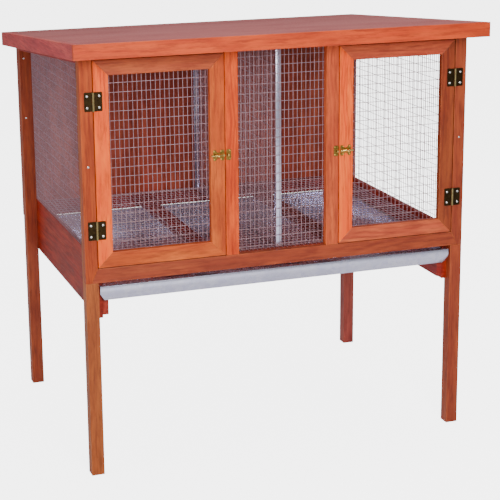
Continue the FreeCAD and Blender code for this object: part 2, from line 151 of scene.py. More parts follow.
class Graph:
    """Makes, sets and links the nodes of one tree."""

    def __init__(self, tree: bpy.types.NodeTree) -> None:
        """Keep the tree that nodes are added to."""
        self.tree = tree

    def put(self, socket: bpy.types.NodeSocket, value: Any) -> None:
        """Link a socket to another one, or set its value.

        Args:
            socket: An input socket.
            value: An output socket, a plain value, or None to leave the default.
        """
        if isinstance(value, bpy.types.NodeSocket):
            self.tree.links.new(value, socket)
        elif value is not None:
            is_short_colour = socket.type == "RGBA" and len(value) == 3
            socket.default_value = (*value, 1.0) if is_short_colour else value

    def add(self, kind: str, inputs: dict | None = None, **settings: Any) -> bpy.types.Node:
        """Add a node.

        Args:
            kind: Its type name.
            inputs: Socket name or index to a value or an output socket.
            settings: The node's own properties, set before its inputs.

        Returns:
            The new node.
        """
        node = self.tree.nodes.new(kind)
        for key, value in settings.items():
            setattr(node, key, value)
        for key, value in (inputs or {}).items():
            self.put(node.inputs[key], value)
        return node

    def math(self, operation: str, a: Any, b: Any = None) -> bpy.types.NodeSocket:
        """A number worked out from one or two others."""
        return self.add("ShaderNodeMath", {0: a, 1: b}, operation=operation).outputs[0]

    def vector(self, operation: str, a: Any, b: Any = None) -> bpy.types.NodeSocket:
        """A vector worked out from one or two others."""
        return self.add("ShaderNodeVectorMath", {0: a, 1: b}, operation=operation).outputs[0]

    def blend(self, share: Any, a: Any, b: Any) -> bpy.types.NodeSocket:
        """Colour a turned towards colour b by a share."""
        return self.add("ShaderNodeMix", {0: share, 6: a, 7: b}, data_type="RGBA").outputs[2]

    def remap(self, value: Any, low: float, high: float, to: Pair = (0.0, 1.0)) -> bpy.types.NodeSocket:
        """A value moved from one range to another and held inside it."""
        inputs = {"Value": value, "From Min": low, "From Max": high, "To Min": to[0], "To Max": to[1]}
        return self.add("ShaderNodeMapRange", inputs).outputs["Result"]

    def noise(self, at: Any, scale: Triple, detail: float = 2.0, rough: float = 0.5) -> bpy.types.Node:
        """Noise with its own scale along each axis."""
        stretched = self.vector("MULTIPLY", at, scale)
        inputs = {"Vector": stretched, "Scale": 1.0, "Detail": detail, "Roughness": rough}
        return self.add("ShaderNodeTexNoise", inputs)

    def attribute(self, name: str) -> bpy.types.Node:
        """A node that reads one of the mesh's own attributes."""
        return self.add("ShaderNodeAttribute", attribute_name=name, attribute_type="GEOMETRY")

    def bump(self, height: Any, distance: float, strength: float) -> bpy.types.NodeSocket:
        """The surface normal tilted by a height."""
        inputs = {"Height": height, "Distance": distance, "Strength": strength}
        return self.add("ShaderNodeBump", inputs).outputs["Normal"]


class SharedEffect:
    """A surface effect that several materials use, kept as one shader node group."""

    title = ""
    inlets: dict[str, tuple[str, Any]] = {}
    outlets: tuple[str, ...] = ()

    def wire(self, graph: Graph, inlet: Any, outlet: Any) -> None:
        """Fill the group. Each effect has its own.

        Args:
            graph: The group's tree.
            inlet: The group's inputs, as sockets by name.
            outlet: The group's outputs, as sockets by name.
        """
        raise NotImplementedError

    def place(self, graph: Graph, values: dict[str, Any]) -> Any:
        """Put the group in a material.

        Args:
            graph: The material's tree.
            values: What its inputs are set or linked to.

        Returns:
            The group's output sockets.
        """
        tree = bpy.data.node_groups.get(self.title) or self._build()
        node = graph.add("ShaderNodeGroup", node_tree=tree)
        for key, value in values.items():
            graph.put(node.inputs[key], value)
        return node.outputs

    def _build(self) -> bpy.types.NodeTree:
        """Make the group with its sockets.

        Returns:
            The finished tree.
        """
        tree = bpy.data.node_groups.new(self.title, "ShaderNodeTree")
        for name, (kind, default) in self.inlets.items():
            socket = tree.interface.new_socket(name, in_out="INPUT", socket_type=kind)
            if default is not None:
                socket.default_value = default
        for name in self.outlets:
            tree.interface.new_socket(name, in_out="OUTPUT", socket_type="NodeSocketFloat")
        graph = Graph(tree)
        self.wire(graph, graph.add("NodeGroupInput").outputs, graph.add("NodeGroupOutput").inputs)
        return tree


FLOAT, VECTOR = "NodeSocketFloat", "NodeSocketVector"


class BoardGrain(SharedEffect):
    """Growth rings, fibres, stain blotches and knots that run along each board."""

    title = "board_grain"
    inlets = {"Board": (VECTOR, None), "Ring Spacing": (FLOAT, 0.007), "Knotty": (FLOAT, 0.5)}
    outlets = ("Rings", "Streaks", "Flecks", "Fibres", "Blotch", "Knot")
    knot_cells = (2.1, 9.0, 9.0)
    knot_core, knot_rim, knot_reach = 0.05, 0.13, 0.42
    knot_push = 0.02
    drift_scale = (2.1, 7.0, 7.0)
    drift_reach = (0.0, 0.075, 0.075)
    ring_stretch = (0.05, 1.0, 1.0)
    wave_length = 0.314
    fade_scale = (3.4, 26.0, 26.0)
    layers = (("Streaks", (2.6, 40.0, 40.0), 4.0, 0.62, (0.4, 0.64)),
              ("Flecks", (15.0, 128.0, 128.0), 4.0, 0.66, (0.47, 0.68)),
              ("Fibres", (14.0, 620.0, 620.0), 2.0, 0.7, (0.3, 0.7)),
              ("Blotch", (7.0, 19.0, 19.0), 4.0, 0.58, (0.42, 0.63)))

    def wire(self, graph: Graph, inlet: Any, outlet: Any) -> None:
        """Fill the group. The board's length runs along X of its own coordinates.

        Args:
            graph: The group's tree.
            inlet: The group's inputs.
            outlet: The group's outputs.
        """
        board = inlet["Board"]
        cell_at = graph.vector("MULTIPLY", board, self.knot_cells)
        cell = graph.add("ShaderNodeTexVoronoi", {"Vector": cell_at, "Scale": 1.0}, feature="F1")
        away = cell.outputs["Distance"]
        chosen = graph.add("ShaderNodeSeparateColor", {"Color": cell.outputs["Color"]}).outputs[0]
        chosen = graph.math("LESS_THAN", chosen, inlet["Knotty"])
        knot = graph.remap(away, self.knot_core, self.knot_rim, (1.0, 0.0))
        near_knot = graph.remap(away, self.knot_core, self.knot_reach, (1.0, 0.0))
        pushed = graph.math("MULTIPLY", graph.math("MULTIPLY", near_knot, chosen), self.knot_push)
        lines = self._ring_lines(graph, board, inlet["Ring Spacing"], pushed)
        shown = graph.remap(graph.noise(board, self.fade_scale).outputs["Fac"], 0.36, 0.62, (0.2, 1.0))
        graph.put(outlet["Rings"], graph.math("MULTIPLY", lines, shown))
        for layer, scale, detail, rough, (low, high) in self.layers:
            noise = graph.noise(board, scale, detail, rough).outputs["Fac"]
            graph.put(outlet[layer], graph.remap(noise, low, high))
        graph.put(outlet["Knot"], graph.math("MULTIPLY", knot, chosen))

    def _ring_lines(self, graph: Graph, board: Any, spacing: Any, pushed: Any) -> bpy.types.NodeSocket:
        """The dark lines of the growth rings, which drift along the board and bend round knots.

        Args:
            graph: The group's tree.
            board: The place on the board.
            spacing: The distance between rings.
            pushed: How far a knot pushes them aside.

        Returns:
            1 on a line and 0 between the lines.
        """
        drift = graph.noise(board, self.drift_scale).outputs["Color"]
        drift = graph.vector("SUBTRACT", drift, (0.5, 0.5, 0.5))
        drift = graph.vector("MULTIPLY", drift, self.drift_reach)
        aside = graph.add("ShaderNodeCombineXYZ", {1: pushed, 2: pushed}).outputs[0]
        at = graph.vector("ADD", graph.vector("MULTIPLY", board, self.ring_stretch), drift)
        at = graph.vector("ADD", at, aside)
        per_metre = graph.math("DIVIDE", self.wave_length, spacing)
        inputs = {"Vector": at, "Scale": per_metre, "Distortion": 1.6, "Detail": 2.0}
        rings = graph.add("ShaderNodeTexWave", inputs, wave_type="RINGS", rings_direction="X")
        return graph.remap(rings.outputs["Fac"], 0.25, 0.95)


class ArrisWear(SharedEffect):
    """Patches along the rounded edges where the finish has rubbed thin."""

    title = "arris_wear"
    inlets = {"Arris": (FLOAT, 0.0), "Position": (VECTOR, None), "Amount": (FLOAT, 0.5)}
    outlets = ("Mask",)

    def wire(self, graph: Graph, inlet: Any, outlet: Any) -> None:
        """Fill the group.

        Args:
            graph: The group's tree.
            inlet: The group's inputs.
            outlet: The group's output.
        """
        patches = graph.noise(inlet["Position"], (38.0, 38.0, 38.0), 3.0, 0.6).outputs["Fac"]
        patches = graph.remap(patches, 0.36, 0.6)
        mask = graph.math("MULTIPLY", graph.math("MULTIPLY", inlet["Arris"], patches), inlet["Amount"])
        graph.put(outlet["Mask"], mask)


class SettledDust(SharedEffect):
    """A thin uneven film on what faces up."""

    title = "settled_dust"
    inlets = {"Position": (VECTOR, None), "Upward": (FLOAT, 0.0), "Amount": (FLOAT, 0.2)}
    outlets = ("Mask",)

    def wire(self, graph: Graph, inlet: Any, outlet: Any) -> None:
        """Fill the group.

        Args:
            graph: The group's tree.
            inlet: The group's inputs.
            outlet: The group's output.
        """
        facing = graph.remap(inlet["Upward"], 0.55, 0.98)
        drift = graph.noise(inlet["Position"], (9.0, 9.0, 9.0), 5.0, 0.65).outputs["Fac"]
        drift = graph.remap(drift, 0.35, 0.72, (0.25, 1.0))
        mask = graph.math("MULTIPLY", graph.math("MULTIPLY", facing, drift), inlet["Amount"])
        graph.put(outlet["Mask"], mask)


class ZincSpangle(SharedEffect):
    """The frosty crystals of hot-dip zinc, with fine scuffs."""

    title = "zinc_spangle"
    inlets = {"Position": (VECTOR, None), "Grains": (FLOAT, 90.0)}
    outlets = ("Shade", "Scuffs", "Height")

    def wire(self, graph: Graph, inlet: Any, outlet: Any) -> None:
        """Fill the group.

        Args:
            graph: The group's tree.
            inlet: The group's inputs.
            outlet: The group's outputs.
        """
        at = inlet["Position"]
        warp = graph.noise(at, (55.0, 55.0, 55.0), 2.0).outputs["Color"]
        warp = graph.vector("MULTIPLY", warp, (0.006, 0.006, 0.006))
        inputs = {"Vector": graph.vector("ADD", at, warp), "Scale": inlet["Grains"]}
        cell = graph.add("ShaderNodeTexVoronoi", inputs, feature="F1")
        shade = graph.add("ShaderNodeSeparateColor", {"Color": cell.outputs["Color"]}).outputs[0]
        graph.put(outlet["Shade"], shade)
        scuffs = graph.noise(at, (12.0, 170.0, 170.0), 4.0, 0.7).outputs["Fac"]
        graph.put(outlet["Scuffs"], graph.remap(scuffs, 0.42, 0.7))
        graph.put(outlet["Height"], graph.math("ADD", shade, scuffs))


class HandledMetal(SharedEffect):
    """Tarnish that gathers in patches, and the fine marks of stamping and use."""

    title = "handled_metal"
    inlets = {"Position": (VECTOR, None)}
    outlets = ("Tarnish", "Marks")

    def wire(self, graph: Graph, inlet: Any, outlet: Any) -> None:
        """Fill the group.

        Args:
            graph: The group's tree.
            inlet: The group's inputs.
            outlet: The group's outputs.
        """
        at = inlet["Position"]
        tarnish = graph.noise(at, (140.0, 140.0, 140.0), 4.0, 0.6).outputs["Fac"]
        graph.put(outlet["Tarnish"], graph.remap(tarnish, 0.38, 0.66))
        marks = graph.noise(at, (300.0, 300.0, 2600.0), 3.0, 0.7).outputs["Fac"]
        graph.put(outlet["Marks"], marks)


# ---------------------------------------------------------------- finishes


@dataclass(frozen=True)
class Finish:
    """A finish with a name. Its material is made once and then shared."""

    name: str
    slot: Slot

    def material(self) -> bpy.types.Material:
        """The finish as a material.

        Returns:
            The material, made at the first call.
        """
        known = bpy.data.materials.get(self.name)
        if known:
            return known
        made = bpy.data.materials.new(self.name)
        made.use_nodes = True
        made.node_tree.nodes.clear()
        graph = Graph(made.node_tree)
        shader = graph.add("ShaderNodeBsdfPrincipled")
        graph.add("ShaderNodeOutputMaterial", {"Surface": shader.outputs["BSDF"]})
        self.wire(graph, shader)
        return made

    def wire(self, graph: Graph, shader: bpy.types.Node) -> None:
        """Fill the material. Each kind of finish has its own.

        Args:
            graph: The material's tree.
            shader: Its Principled shader.
        """
        raise NotImplementedError

    @staticmethod
    def place(graph: Graph) -> bpy.types.NodeSocket:
        """The point on the piece, in its own coordinates."""
        return graph.add("ShaderNodeTexCoord").outputs["Object"]

    @staticmethod
    def upward(graph: Graph) -> bpy.types.NodeSocket:
        """How far the surface faces up, from -1 to 1."""
        normal = graph.add("ShaderNodeNewGeometry").outputs["Normal"]
        return graph.add("ShaderNodeSeparateXYZ", {0: normal}).outputs["Z"]


@dataclass(frozen=True)
class StainedTimber(Finish):
    """Softwood under a translucent coloured stain."""

    stain: Colour
    late_wood: Colour
    streak: Colour
    worn: Colour
    ring_spacing: float = 0.007
    ring_share: float = 0.75
    knotty: float = 0.16
    sheen_rough: float = 0.46
    lacquer: float = 0.08
    wear: float = 0.22
    dust: float = 0.05
    dust_colour: Colour = (0.6, 0.52, 0.46)

    def wire(self, graph: Graph, shader: bpy.types.Node) -> None:
        """Fill the material.

        Args:
            graph: The material's tree.
            shader: Its Principled shader.
        """
        board = graph.attribute("board").outputs["Vector"]
        values = {"Board": board, "Ring Spacing": self.ring_spacing, "Knotty": self.knotty}
        grain = BoardGrain().place(graph, values)
        deep = tuple(0.55 * c for c in self.late_wood)
        layers = (("Rings", self.ring_share, self.late_wood), ("Streaks", 0.85, self.streak),
                  ("Blotch", 0.62, self.late_wood), ("Flecks", 0.6, deep),
                  ("Fibres", 0.2, deep), ("Knot", 0.85, deep))
        colour = self.stain
        for layer, share, towards in layers:
            colour = graph.blend(graph.math("MULTIPLY", grain[layer], share), colour, towards)
        # The per-board cast shifts hue, saturation and value: the stain's own variation together with
        # painted light and shade.
        cast = graph.add("ShaderNodeSeparateXYZ", {0: graph.attribute("cast").outputs["Vector"]}).outputs
        inputs = {"Color": colour, "Hue": graph.remap(cast["Y"], -1.0, 1.0, (0.48, 0.52)),
                  "Saturation": graph.remap(cast["Z"], -1.0, 1.0, (1.1, 0.9)),
                  "Value": graph.remap(cast["X"], -1.0, 1.0, (0.25, 1.75))}
        colour = graph.add("ShaderNodeHueSaturation", inputs).outputs[0]
        at = self.place(graph)
        arris = graph.attribute("arris").outputs["Fac"]
        rubbed = ArrisWear().place(graph, {"Arris": arris, "Position": at, "Amount": self.wear})["Mask"]
        colour = graph.blend(rubbed, colour, self.worn)
        settled = {"Position": at, "Upward": self.upward(graph), "Amount": self.dust}
        dust = SettledDust().place(graph, settled)["Mask"]
        colour = graph.blend(dust, colour, self.dust_colour)
        graph.put(shader.inputs["Base Color"], colour)
        rough = graph.remap(grain["Fibres"], 0.0, 1.0, (self.sheen_rough, self.sheen_rough + 0.14))
        graph.put(shader.inputs["Roughness"], rough)
        height = graph.math("ADD", grain["Fibres"], graph.math("MULTIPLY", grain["Rings"], 0.7))
        height = graph.math("SUBTRACT", height, graph.math("MULTIPLY", grain["Knot"], 0.8))
        graph.put(shader.inputs["Normal"], graph.bump(height, 0.00035, 0.55))
        graph.put(shader.inputs["Specular IOR Level"], 0.32)
        graph.put(shader.inputs["Coat Weight"], self.lacquer)
        graph.put(shader.inputs["Coat Roughness"], 0.32)


@dataclass(frozen=True)
class MineralFelt(Finish):
    """Roofing felt with a gritty mineral face."""

    colour: Colour = (0.38, 0.082, 0.078)
    pale: Colour = (0.52, 0.2, 0.19)
    dark: Colour = (0.17, 0.045, 0.045)

    def wire(self, graph: Graph, shader: bpy.types.Node) -> None:
        """Fill the material.

        Args:
            graph: The material's tree.
            shader: Its Principled shader.
        """
        at = self.place(graph)
        cell = graph.add("ShaderNodeTexVoronoi", {"Vector": at, "Scale": 620.0}, feature="F1")
        speck = graph.add("ShaderNodeSeparateColor", {"Color": cell.outputs["Color"]}).outputs[1]
        colour = graph.blend(graph.remap(speck, 0.55, 1.0, (0.0, 0.55)), self.colour, self.pale)
        colour = graph.blend(graph.remap(speck, 0.35, 0.0, (0.0, 0.6)), colour, self.dark)
        weather = graph.noise(at, (2.6, 5.0, 5.0), 6.0, 0.62).outputs["Fac"]
        colour = graph.blend(graph.remap(weather, 0.4, 0.75, (0.0, 0.3)), colour, self.pale)
        colour = graph.blend(graph.remap(weather, 0.5, 0.3, (0.0, 0.28)), colour, self.dark)
        graph.put(shader.inputs["Base Color"], colour)
        graph.put(shader.inputs["Roughness"], graph.remap(speck, 0.0, 1.0, (0.8, 0.97)))
        height = graph.math("SUBTRACT", 1.0, cell.outputs["Distance"])
        graph.put(shader.inputs["Normal"], graph.bump(height, 0.0006, 0.7))


@dataclass(frozen=True)
class Galvanised(Finish):
    """Zinc-coated steel, as sheet or as wire."""

    light: Colour = (0.82, 0.82, 1.0)
    dark: Colour = (0.7, 0.7, 0.93)
    grains: float = 85.0
    rough: float = 0.21
    metallic: float = 0.9
    scuff: Colour = (0.34, 0.35, 0.38)
    dust: float = 0.1
    dust_colour: Colour = (0.62, 0.58, 0.54)

    def wire(self, graph: Graph, shader: bpy.types.Node) -> None:
        """Fill the material.

        Args:
            graph: The material's tree.
            shader: Its Principled shader.
        """
        at = self.place(graph)
        zinc = ZincSpangle().place(graph, {"Position": at, "Grains": self.grains})
        colour = graph.blend(zinc["Shade"], self.light, self.dark)
        colour = graph.blend(graph.math("MULTIPLY", zinc["Scuffs"], 0.18), colour, self.scuff)
        settled = {"Position": at, "Upward": self.upward(graph), "Amount": self.dust}
        dust = SettledDust().place(graph, settled)["Mask"]
        colour = graph.blend(dust, colour, self.dust_colour)
        graph.put(shader.inputs["Base Color"], colour)
        rough = graph.math("MULTIPLY_ADD", zinc["Shade"], 0.06)
        rough.node.inputs[2].default_value = self.rough
        graph.put(shader.inputs["Roughness"], graph.math("ADD", rough, graph.math("MULTIPLY", dust, 0.4)))
        graph.put(shader.inputs["Metallic"], self.metallic)
        graph.put(shader.inputs["Normal"], graph.bump(zinc["Height"], 0.00008, 0.3))


@dataclass(frozen=True)
class StampedMetal(Finish):
    """Pressed and plated ironmongery."""

    bright: Colour
    tarnished: Colour
    tarnish: float
    rough: float

    def wire(self, graph: Graph, shader: bpy.types.Node) -> None:
        """Fill the material.

        Args:
            graph: The material's tree.
            shader: Its Principled shader.
        """
        at = self.place(graph)
        metal = HandledMetal().place(graph, {"Position": at})
        patches = graph.math("MULTIPLY", metal["Tarnish"], self.tarnish)
        colour = graph.blend(patches, self.bright, self.tarnished)
        arris = graph.attribute("arris").outputs["Fac"]
        rubbed = ArrisWear().place(graph, {"Arris": arris, "Position": at, "Amount": 0.6})["Mask"]
        colour = graph.blend(rubbed, colour, tuple(min(1.0, 1.25 * c) for c in self.bright))
        graph.put(shader.inputs["Base Color"], colour)
        graph.put(shader.inputs["Metallic"], 1.0)
        rough = graph.remap(patches, 0.0, 1.0, (self.rough, self.rough + 0.3))
        graph.put(shader.inputs["Roughness"], rough)
        graph.put(shader.inputs["Normal"], graph.bump(metal["Marks"], 0.00006, 0.5))


FRONT_STAIN = StainedTimber("front_stain", Slot.FRAME, (0.53, 0.073, 0.008), (0.32, 0.032, 0.004),
                            (0.64, 0.112, 0.014), (0.76, 0.24, 0.06))
DOOR_STAIN = StainedTimber("door_stain", Slot.DOOR, (0.72, 0.105, 0.012), (0.44, 0.046, 0.005),
                           (0.84, 0.165, 0.02), (0.9, 0.28, 0.08), ring_spacing=0.009)
FASCIA_STAIN = StainedTimber("fascia_stain", Slot.ROOF, (0.74, 0.068, 0.012), (0.5, 0.036, 0.006),
                             (0.86, 0.11, 0.02), (0.94, 0.27, 0.1), ring_spacing=0.012, ring_share=0.6)
# Painted shade: a darker, redder copy of the timber stain, used on the inner members and on the side
# skirts, where they sit in shade.
INNER_STAIN_AND_SHADE = StainedTimber("inner_stain_and_shade", Slot.INNER, (0.42, 0.026, 0.018), (0.22, 0.011, 0.007),
                            (0.5, 0.052, 0.025), (0.55, 0.12, 0.06), ring_spacing=0.011, lacquer=0.03)
ROOF_FELT = MineralFelt("mineral_felt", Slot.FELT)
MESH_ZINC = Galvanised("mesh_zinc", Slot.WIRE, (0.6, 0.39, 0.44), (0.44, 0.27, 0.31),
                       grains=260.0, rough=0.4, metallic=0.5, dust=0.04)
TRAY_ZINC = Galvanised("tray_zinc", Slot.SHEET)
# Painted shade: a darker, duller copy of the tray's zinc for the wired rim, which dims the rim's
# highlight.
RIM_ZINC_SHADED = Galvanised("rim_zinc_shaded", Slot.SHEET, (0.42, 0.44, 0.54), (0.3, 0.32, 0.4),
                      rough=0.5, metallic=0.6)
HINGE_METAL = StampedMetal("antique_brass", Slot.HINGE, (0.055, 0.034, 0.014), (0.016, 0.01, 0.006),
                           tarnish=0.75, rough=0.36)
KNUCKLE_METAL = StampedMetal("rubbed_brass", Slot.HINGE, (0.42, 0.32, 0.14), (0.14, 0.1, 0.04),
                             tarnish=0.6, rough=0.3)
BOLT_METAL = StampedMetal("gold_brass", Slot.BOLT, (0.84, 0.62, 0.2), (0.46, 0.3, 0.07),
                          tarnish=0.35, rough=0.24)
PLATE_METAL = StampedMetal("olive_brass", Slot.BOLT, (0.38, 0.25, 0.06), (0.12, 0.07, 0.016),
                           tarnish=0.7, rough=0.32)
SCREW_METAL = StampedMetal("bright_zinc", Slot.SCREW, (0.93, 0.92, 0.9), (0.7, 0.69, 0.66),
                           tarnish=0.3, rough=0.22)
BRASS_SCREW = StampedMetal("brass_screw", Slot.SCREW, (0.8, 0.55, 0.14), (0.35, 0.2, 0.04),
                           tarnish=0.4, rough=0.25)


# ---------------------------------------------------------------- meshes


def body_of(node: str) -> str:
    """The body that a CAD node belongs to."""
    return frame["nodes"][node]["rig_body"]


def settle(mesh: bpy.types.Mesh, name: str, slot: Slot, *nodes: str) -> bpy.types.Object:
    """Put a finished mesh in the scene as a piece that stands for CAD nodes of one body.

    Args:
        mesh: The mesh, in the row frame.
        name: The piece's name.
        slot: Not used.
        nodes: The CAD nodes that it stands for.

    Returns:
        The piece.
    """
    piece = bpy.data.objects.new(name, mesh)
    bpy.context.scene.collection.objects.link(piece)
    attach(piece, body_of(nodes[0]))
    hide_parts(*nodes)
    LOG.info("%s: %d faces on %s", name, len(mesh.polygons), body_of(nodes[0]))
    return piece


def to_mesh(shape: bmesh.types.BMesh, name: str, materials: Sequence[bpy.types.Material],
            smooth_below: float | None = None) -> bpy.types.Mesh:
    """Turn an edit mesh into a plain one and free it.

    Args:
        shape: The edit mesh.
        name: The mesh's name.
        materials: Its materials, in slot order.
        smooth_below: Faces are shaded smooth across edges flatter than this angle, in degrees.

    Returns:
        The new mesh.
    """
    mesh = bpy.data.meshes.new(name)
    shape.to_mesh(mesh)
    shape.free()
    for material in materials:
        mesh.materials.append(material)
    if smooth_below is not None:
        mesh.shade_smooth()
        mesh.set_sharp_from_angle(angle=math.radians(smooth_below))
    return mesh


def merged_copy(node: str) -> bmesh.types.BMesh:
    """A CAD node's mesh with its corners joined and its flat faces whole.

    Args:
        node: The CAD node.

    Returns:
        A new edit mesh.
    """
    shape = bmesh.new()
    shape.from_mesh(frame["nodes"][node].data)
    bmesh.ops.remove_doubles(shape, verts=shape.verts, dist=SAME_CORNER)
    bmesh.ops.dissolve_limit(shape, angle_limit=SAME_PLANE, verts=shape.verts, edges=shape.edges)
    return shape


def round_arrises(shape: bmesh.types.BMesh, radius: float, segments: int, shortest: float,
                  sharpest: float = 30.0) -> None:
    """Round the long outer edges and mark the rounded faces in the arris layer.

    Args:
        shape: The edit mesh.
        radius: How far the rounding reaches.
        segments: Faces across the rounding.
        shortest: Shorter edges stay sharp.
        sharpest: Edges that turn by less than this many degrees stay as they are.
    """
    arris = shape.faces.layers.float.new("arris")
    limit = math.radians(sharpest)
    edges = [e for e in shape.edges if len(e.link_faces) == 2 and e.is_convex
             and e.calc_length() > shortest and e.calc_face_angle(0.0) > limit]
    made = bmesh.ops.bevel(shape, geom=edges, offset=radius, segments=segments, profile=0.5,
                           affect="EDGES", clamp_overlap=True)
    for face in made["faces"]:
        face[arris] = 1.0


def islands(shape: bmesh.types.BMesh) -> list[list[bmesh.types.BMVert]]:
    """The separate solids of an edit mesh, each as its vertices.

    Args:
        shape: The edit mesh.

    Returns:
        One list of vertices for each solid.
    """
    left, found = set(shape.verts), []
    while left:
        open_verts, members = [next(v for v in shape.verts if v in left)], []
        left.discard(open_verts[0])
        while open_verts:
            vert = open_verts.pop()
            members.append(vert)
            for edge in vert.link_edges:
                other = edge.other_vert(vert)
                if other in left:
                    left.discard(other)
                    open_verts.append(other)
        found.append(members)
    return found


def skin(shape: bmesh.types.BMesh, rings: Sequence[list[bmesh.types.BMVert]],
         cap_last: bool = True) -> None:
    """Join closed rings of vertices by faces, in order, and close the ends.

    Args:
        shape: The edit mesh that the rings are in.
        rings: The rings, with as many vertices each.
        cap_last: Whether the last ring is closed as well as the first.
    """
    around = len(rings[0])
    for low, high in zip(rings, rings[1:]):
        for i in range(around):
            j = (i + 1) % around
            shape.faces.new((low[i], low[j], high[j], high[i]))
    shape.faces.new(rings[0][::-1])
    if cap_last:
        shape.faces.new(rings[-1])


def lathe(profile: Sequence[Pair], along: Vector, at: Vector, turns: int = 16) -> bmesh.types.BMesh:
    """A round shape from a half profile, closed at both ends.

    Args:
        profile: Points of (distance along, radius), from one end to the other.
        along: The direction of the turning axis.
        at: Where distance 0 lies.
        turns: Facets round the axis.

    Returns:
        A new edit mesh.
    """
    shape = bmesh.new()
    frame_of = along.normalized().to_track_quat("Z", "Y").to_matrix()
    rings = []
    for height, radius in profile:
        ring = []
        for i in range(turns):
            angle = math.tau * i / turns
            spot = Vector((radius * math.cos(angle), radius * math.sin(angle), height))
            ring.append(shape.verts.new(at + frame_of @ spot))
        rings.append(ring)
    skin(shape, rings)
    bmesh.ops.recalc_face_normals(shape, faces=shape.faces)
    return shape


def arc(centre: Pair, radius: float, start: float, end: float, steps: int) -> list[Pair]:
    """Points along an arc, in degrees.

    Args:
        centre: The arc's centre.
        radius: Its radius.
        start: Where it starts.
        end: Where it ends.
        steps: How many stretches it has.

    Returns:
        The points, ends included.
    """
    angles = [math.radians(start + (end - start) * i / steps) for i in range(steps + 1)]
    return [(centre[0] + radius * math.cos(a), centre[1] + radius * math.sin(a)) for a in angles]


def plate(outline: Iterable[Pair], y: Pair, edge: float) -> bmesh.types.BMesh:
    """A flat plate with an XZ outline, its front edge rounded.

    Args:
        outline: Points of (x, z).
        y: Its front and back.
        edge: The rounding of the front edge.

    Returns:
        A new edit mesh.
    """
    shape = bmesh.new()
    face = shape.faces.new([shape.verts.new((px, y[1], pz)) for px, pz in outline])
    moved = bmesh.ops.extrude_face_region(shape, geom=[face])["geom"]
    for vert in (v for v in moved if isinstance(v, bmesh.types.BMVert)):
        vert.co.y = y[0]
    bmesh.ops.recalc_face_normals(shape, faces=shape.faces)
    arris = shape.faces.layers.float.new("arris")
    front = [e for e in shape.edges if all(abs(v.co.y - y[0]) < 1e-9 for v in e.verts)]
    made = bmesh.ops.bevel(shape, geom=front, offset=edge, segments=2, profile=0.5, affect="EDGES")
    for made_face in made["faces"]:
        made_face[arris] = 1.0
    return shape


def joined(shapes: Iterable[bmesh.types.BMesh], slots: Iterable[int] | None = None) -> bmesh.types.BMesh:
    """Several edit meshes as one.

    Args:
        shapes: The edit meshes, which are freed.
        slots: The material slot of each, or None for the first slot everywhere.

    Returns:
        A new edit mesh.
    """
    whole = bmesh.new()
    whole.faces.layers.float.new("arris")
    shapes = list(shapes)
    for shape, index in zip(shapes, slots or [0] * len(shapes)):
        for face in shape.faces:
            face.material_index = index
        if not shape.faces.layers.float.get("arris"):
            shape.faces.layers.float.new("arris")
        part = bpy.data.meshes.new("part")
        shape.to_mesh(part)
        shape.free()
        whole.from_mesh(part)
        bpy.data.meshes.remove(part)
    return whole


def mirrored_x(shape: bmesh.types.BMesh) -> bmesh.types.BMesh:
    """The same shape on the other side of X = 0, faces outward."""
    bmesh.ops.transform(shape, matrix=Matrix.Scale(-1.0, 4, (1.0, 0.0, 0.0)), verts=shape.verts)
    bmesh.ops.reverse_faces(shape, faces=shape.faces)
    return shape


# ---------------------------------------------------------------- geometry nodes


class Recipe:
    """A Geometry Nodes tree with named inputs, run to give a plain mesh."""

    title = ""
    inlets: dict[str, str] = {}

    def wire(self, graph: Graph, inlet: Any) -> bpy.types.NodeSocket:
        """Fill the tree. Each recipe has its own.

        Args:
            graph: The tree.
            inlet: The tree's inputs, as sockets by name.

        Returns:
            The geometry, before it is realized and given its material.
        """
        raise NotImplementedError

    def run(self, values: dict[str, Any], start: bpy.types.Mesh | None = None) -> bpy.types.Mesh:
        """Make the mesh.

        Args:
            values: What each named input is set to.
            start: A mesh to start from, where the recipe needs one.

        Returns:
            A plain mesh with its material.
        """
        tree = bpy.data.node_groups.get(self.title) or self._build()
        holder = bpy.data.objects.new("holder", start or bpy.data.meshes.new("holder"))
        bpy.context.scene.collection.objects.link(holder)
        modifier = holder.modifiers.new("recipe", "NODES")
        modifier.node_group = tree
        for item in tree.interface.items_tree:
            if item.item_type == "SOCKET" and item.in_out == "INPUT" and item.name in values:
                modifier[item.identifier] = values[item.name]
        bpy.context.view_layer.update()
        evaluated = holder.evaluated_get(bpy.context.evaluated_depsgraph_get())
        mesh = bpy.data.meshes.new_from_object(evaluated)
        bpy.data.objects.remove(holder)
        return mesh

    def _build(self) -> bpy.types.NodeTree:
        """Make the tree with its sockets and its last two nodes.

        Returns:
            The finished tree.
        """
        tree = bpy.data.node_groups.new(self.title, "GeometryNodeTree")
        sockets = {"Geometry": "NodeSocketGeometry", **self.inlets, "Material": "NodeSocketMaterial"}
        for name, kind in sockets.items():
            tree.interface.new_socket(name, in_out="INPUT", socket_type=kind)
        tree.interface.new_socket("Geometry", in_out="OUTPUT", socket_type="NodeSocketGeometry")
        graph = Graph(tree)
        inlet = graph.add("NodeGroupInput").outputs
        shape = self.wire(graph, inlet)
        solid = graph.add("GeometryNodeRealizeInstances", {"Geometry": shape}).outputs[0]
        inputs = {"Geometry": solid, "Material": inlet["Material"]}
        dressed = graph.add("GeometryNodeSetMaterial", inputs).outputs[0]
        graph.add("NodeGroupOutput", {"Geometry": dressed})
        return tree


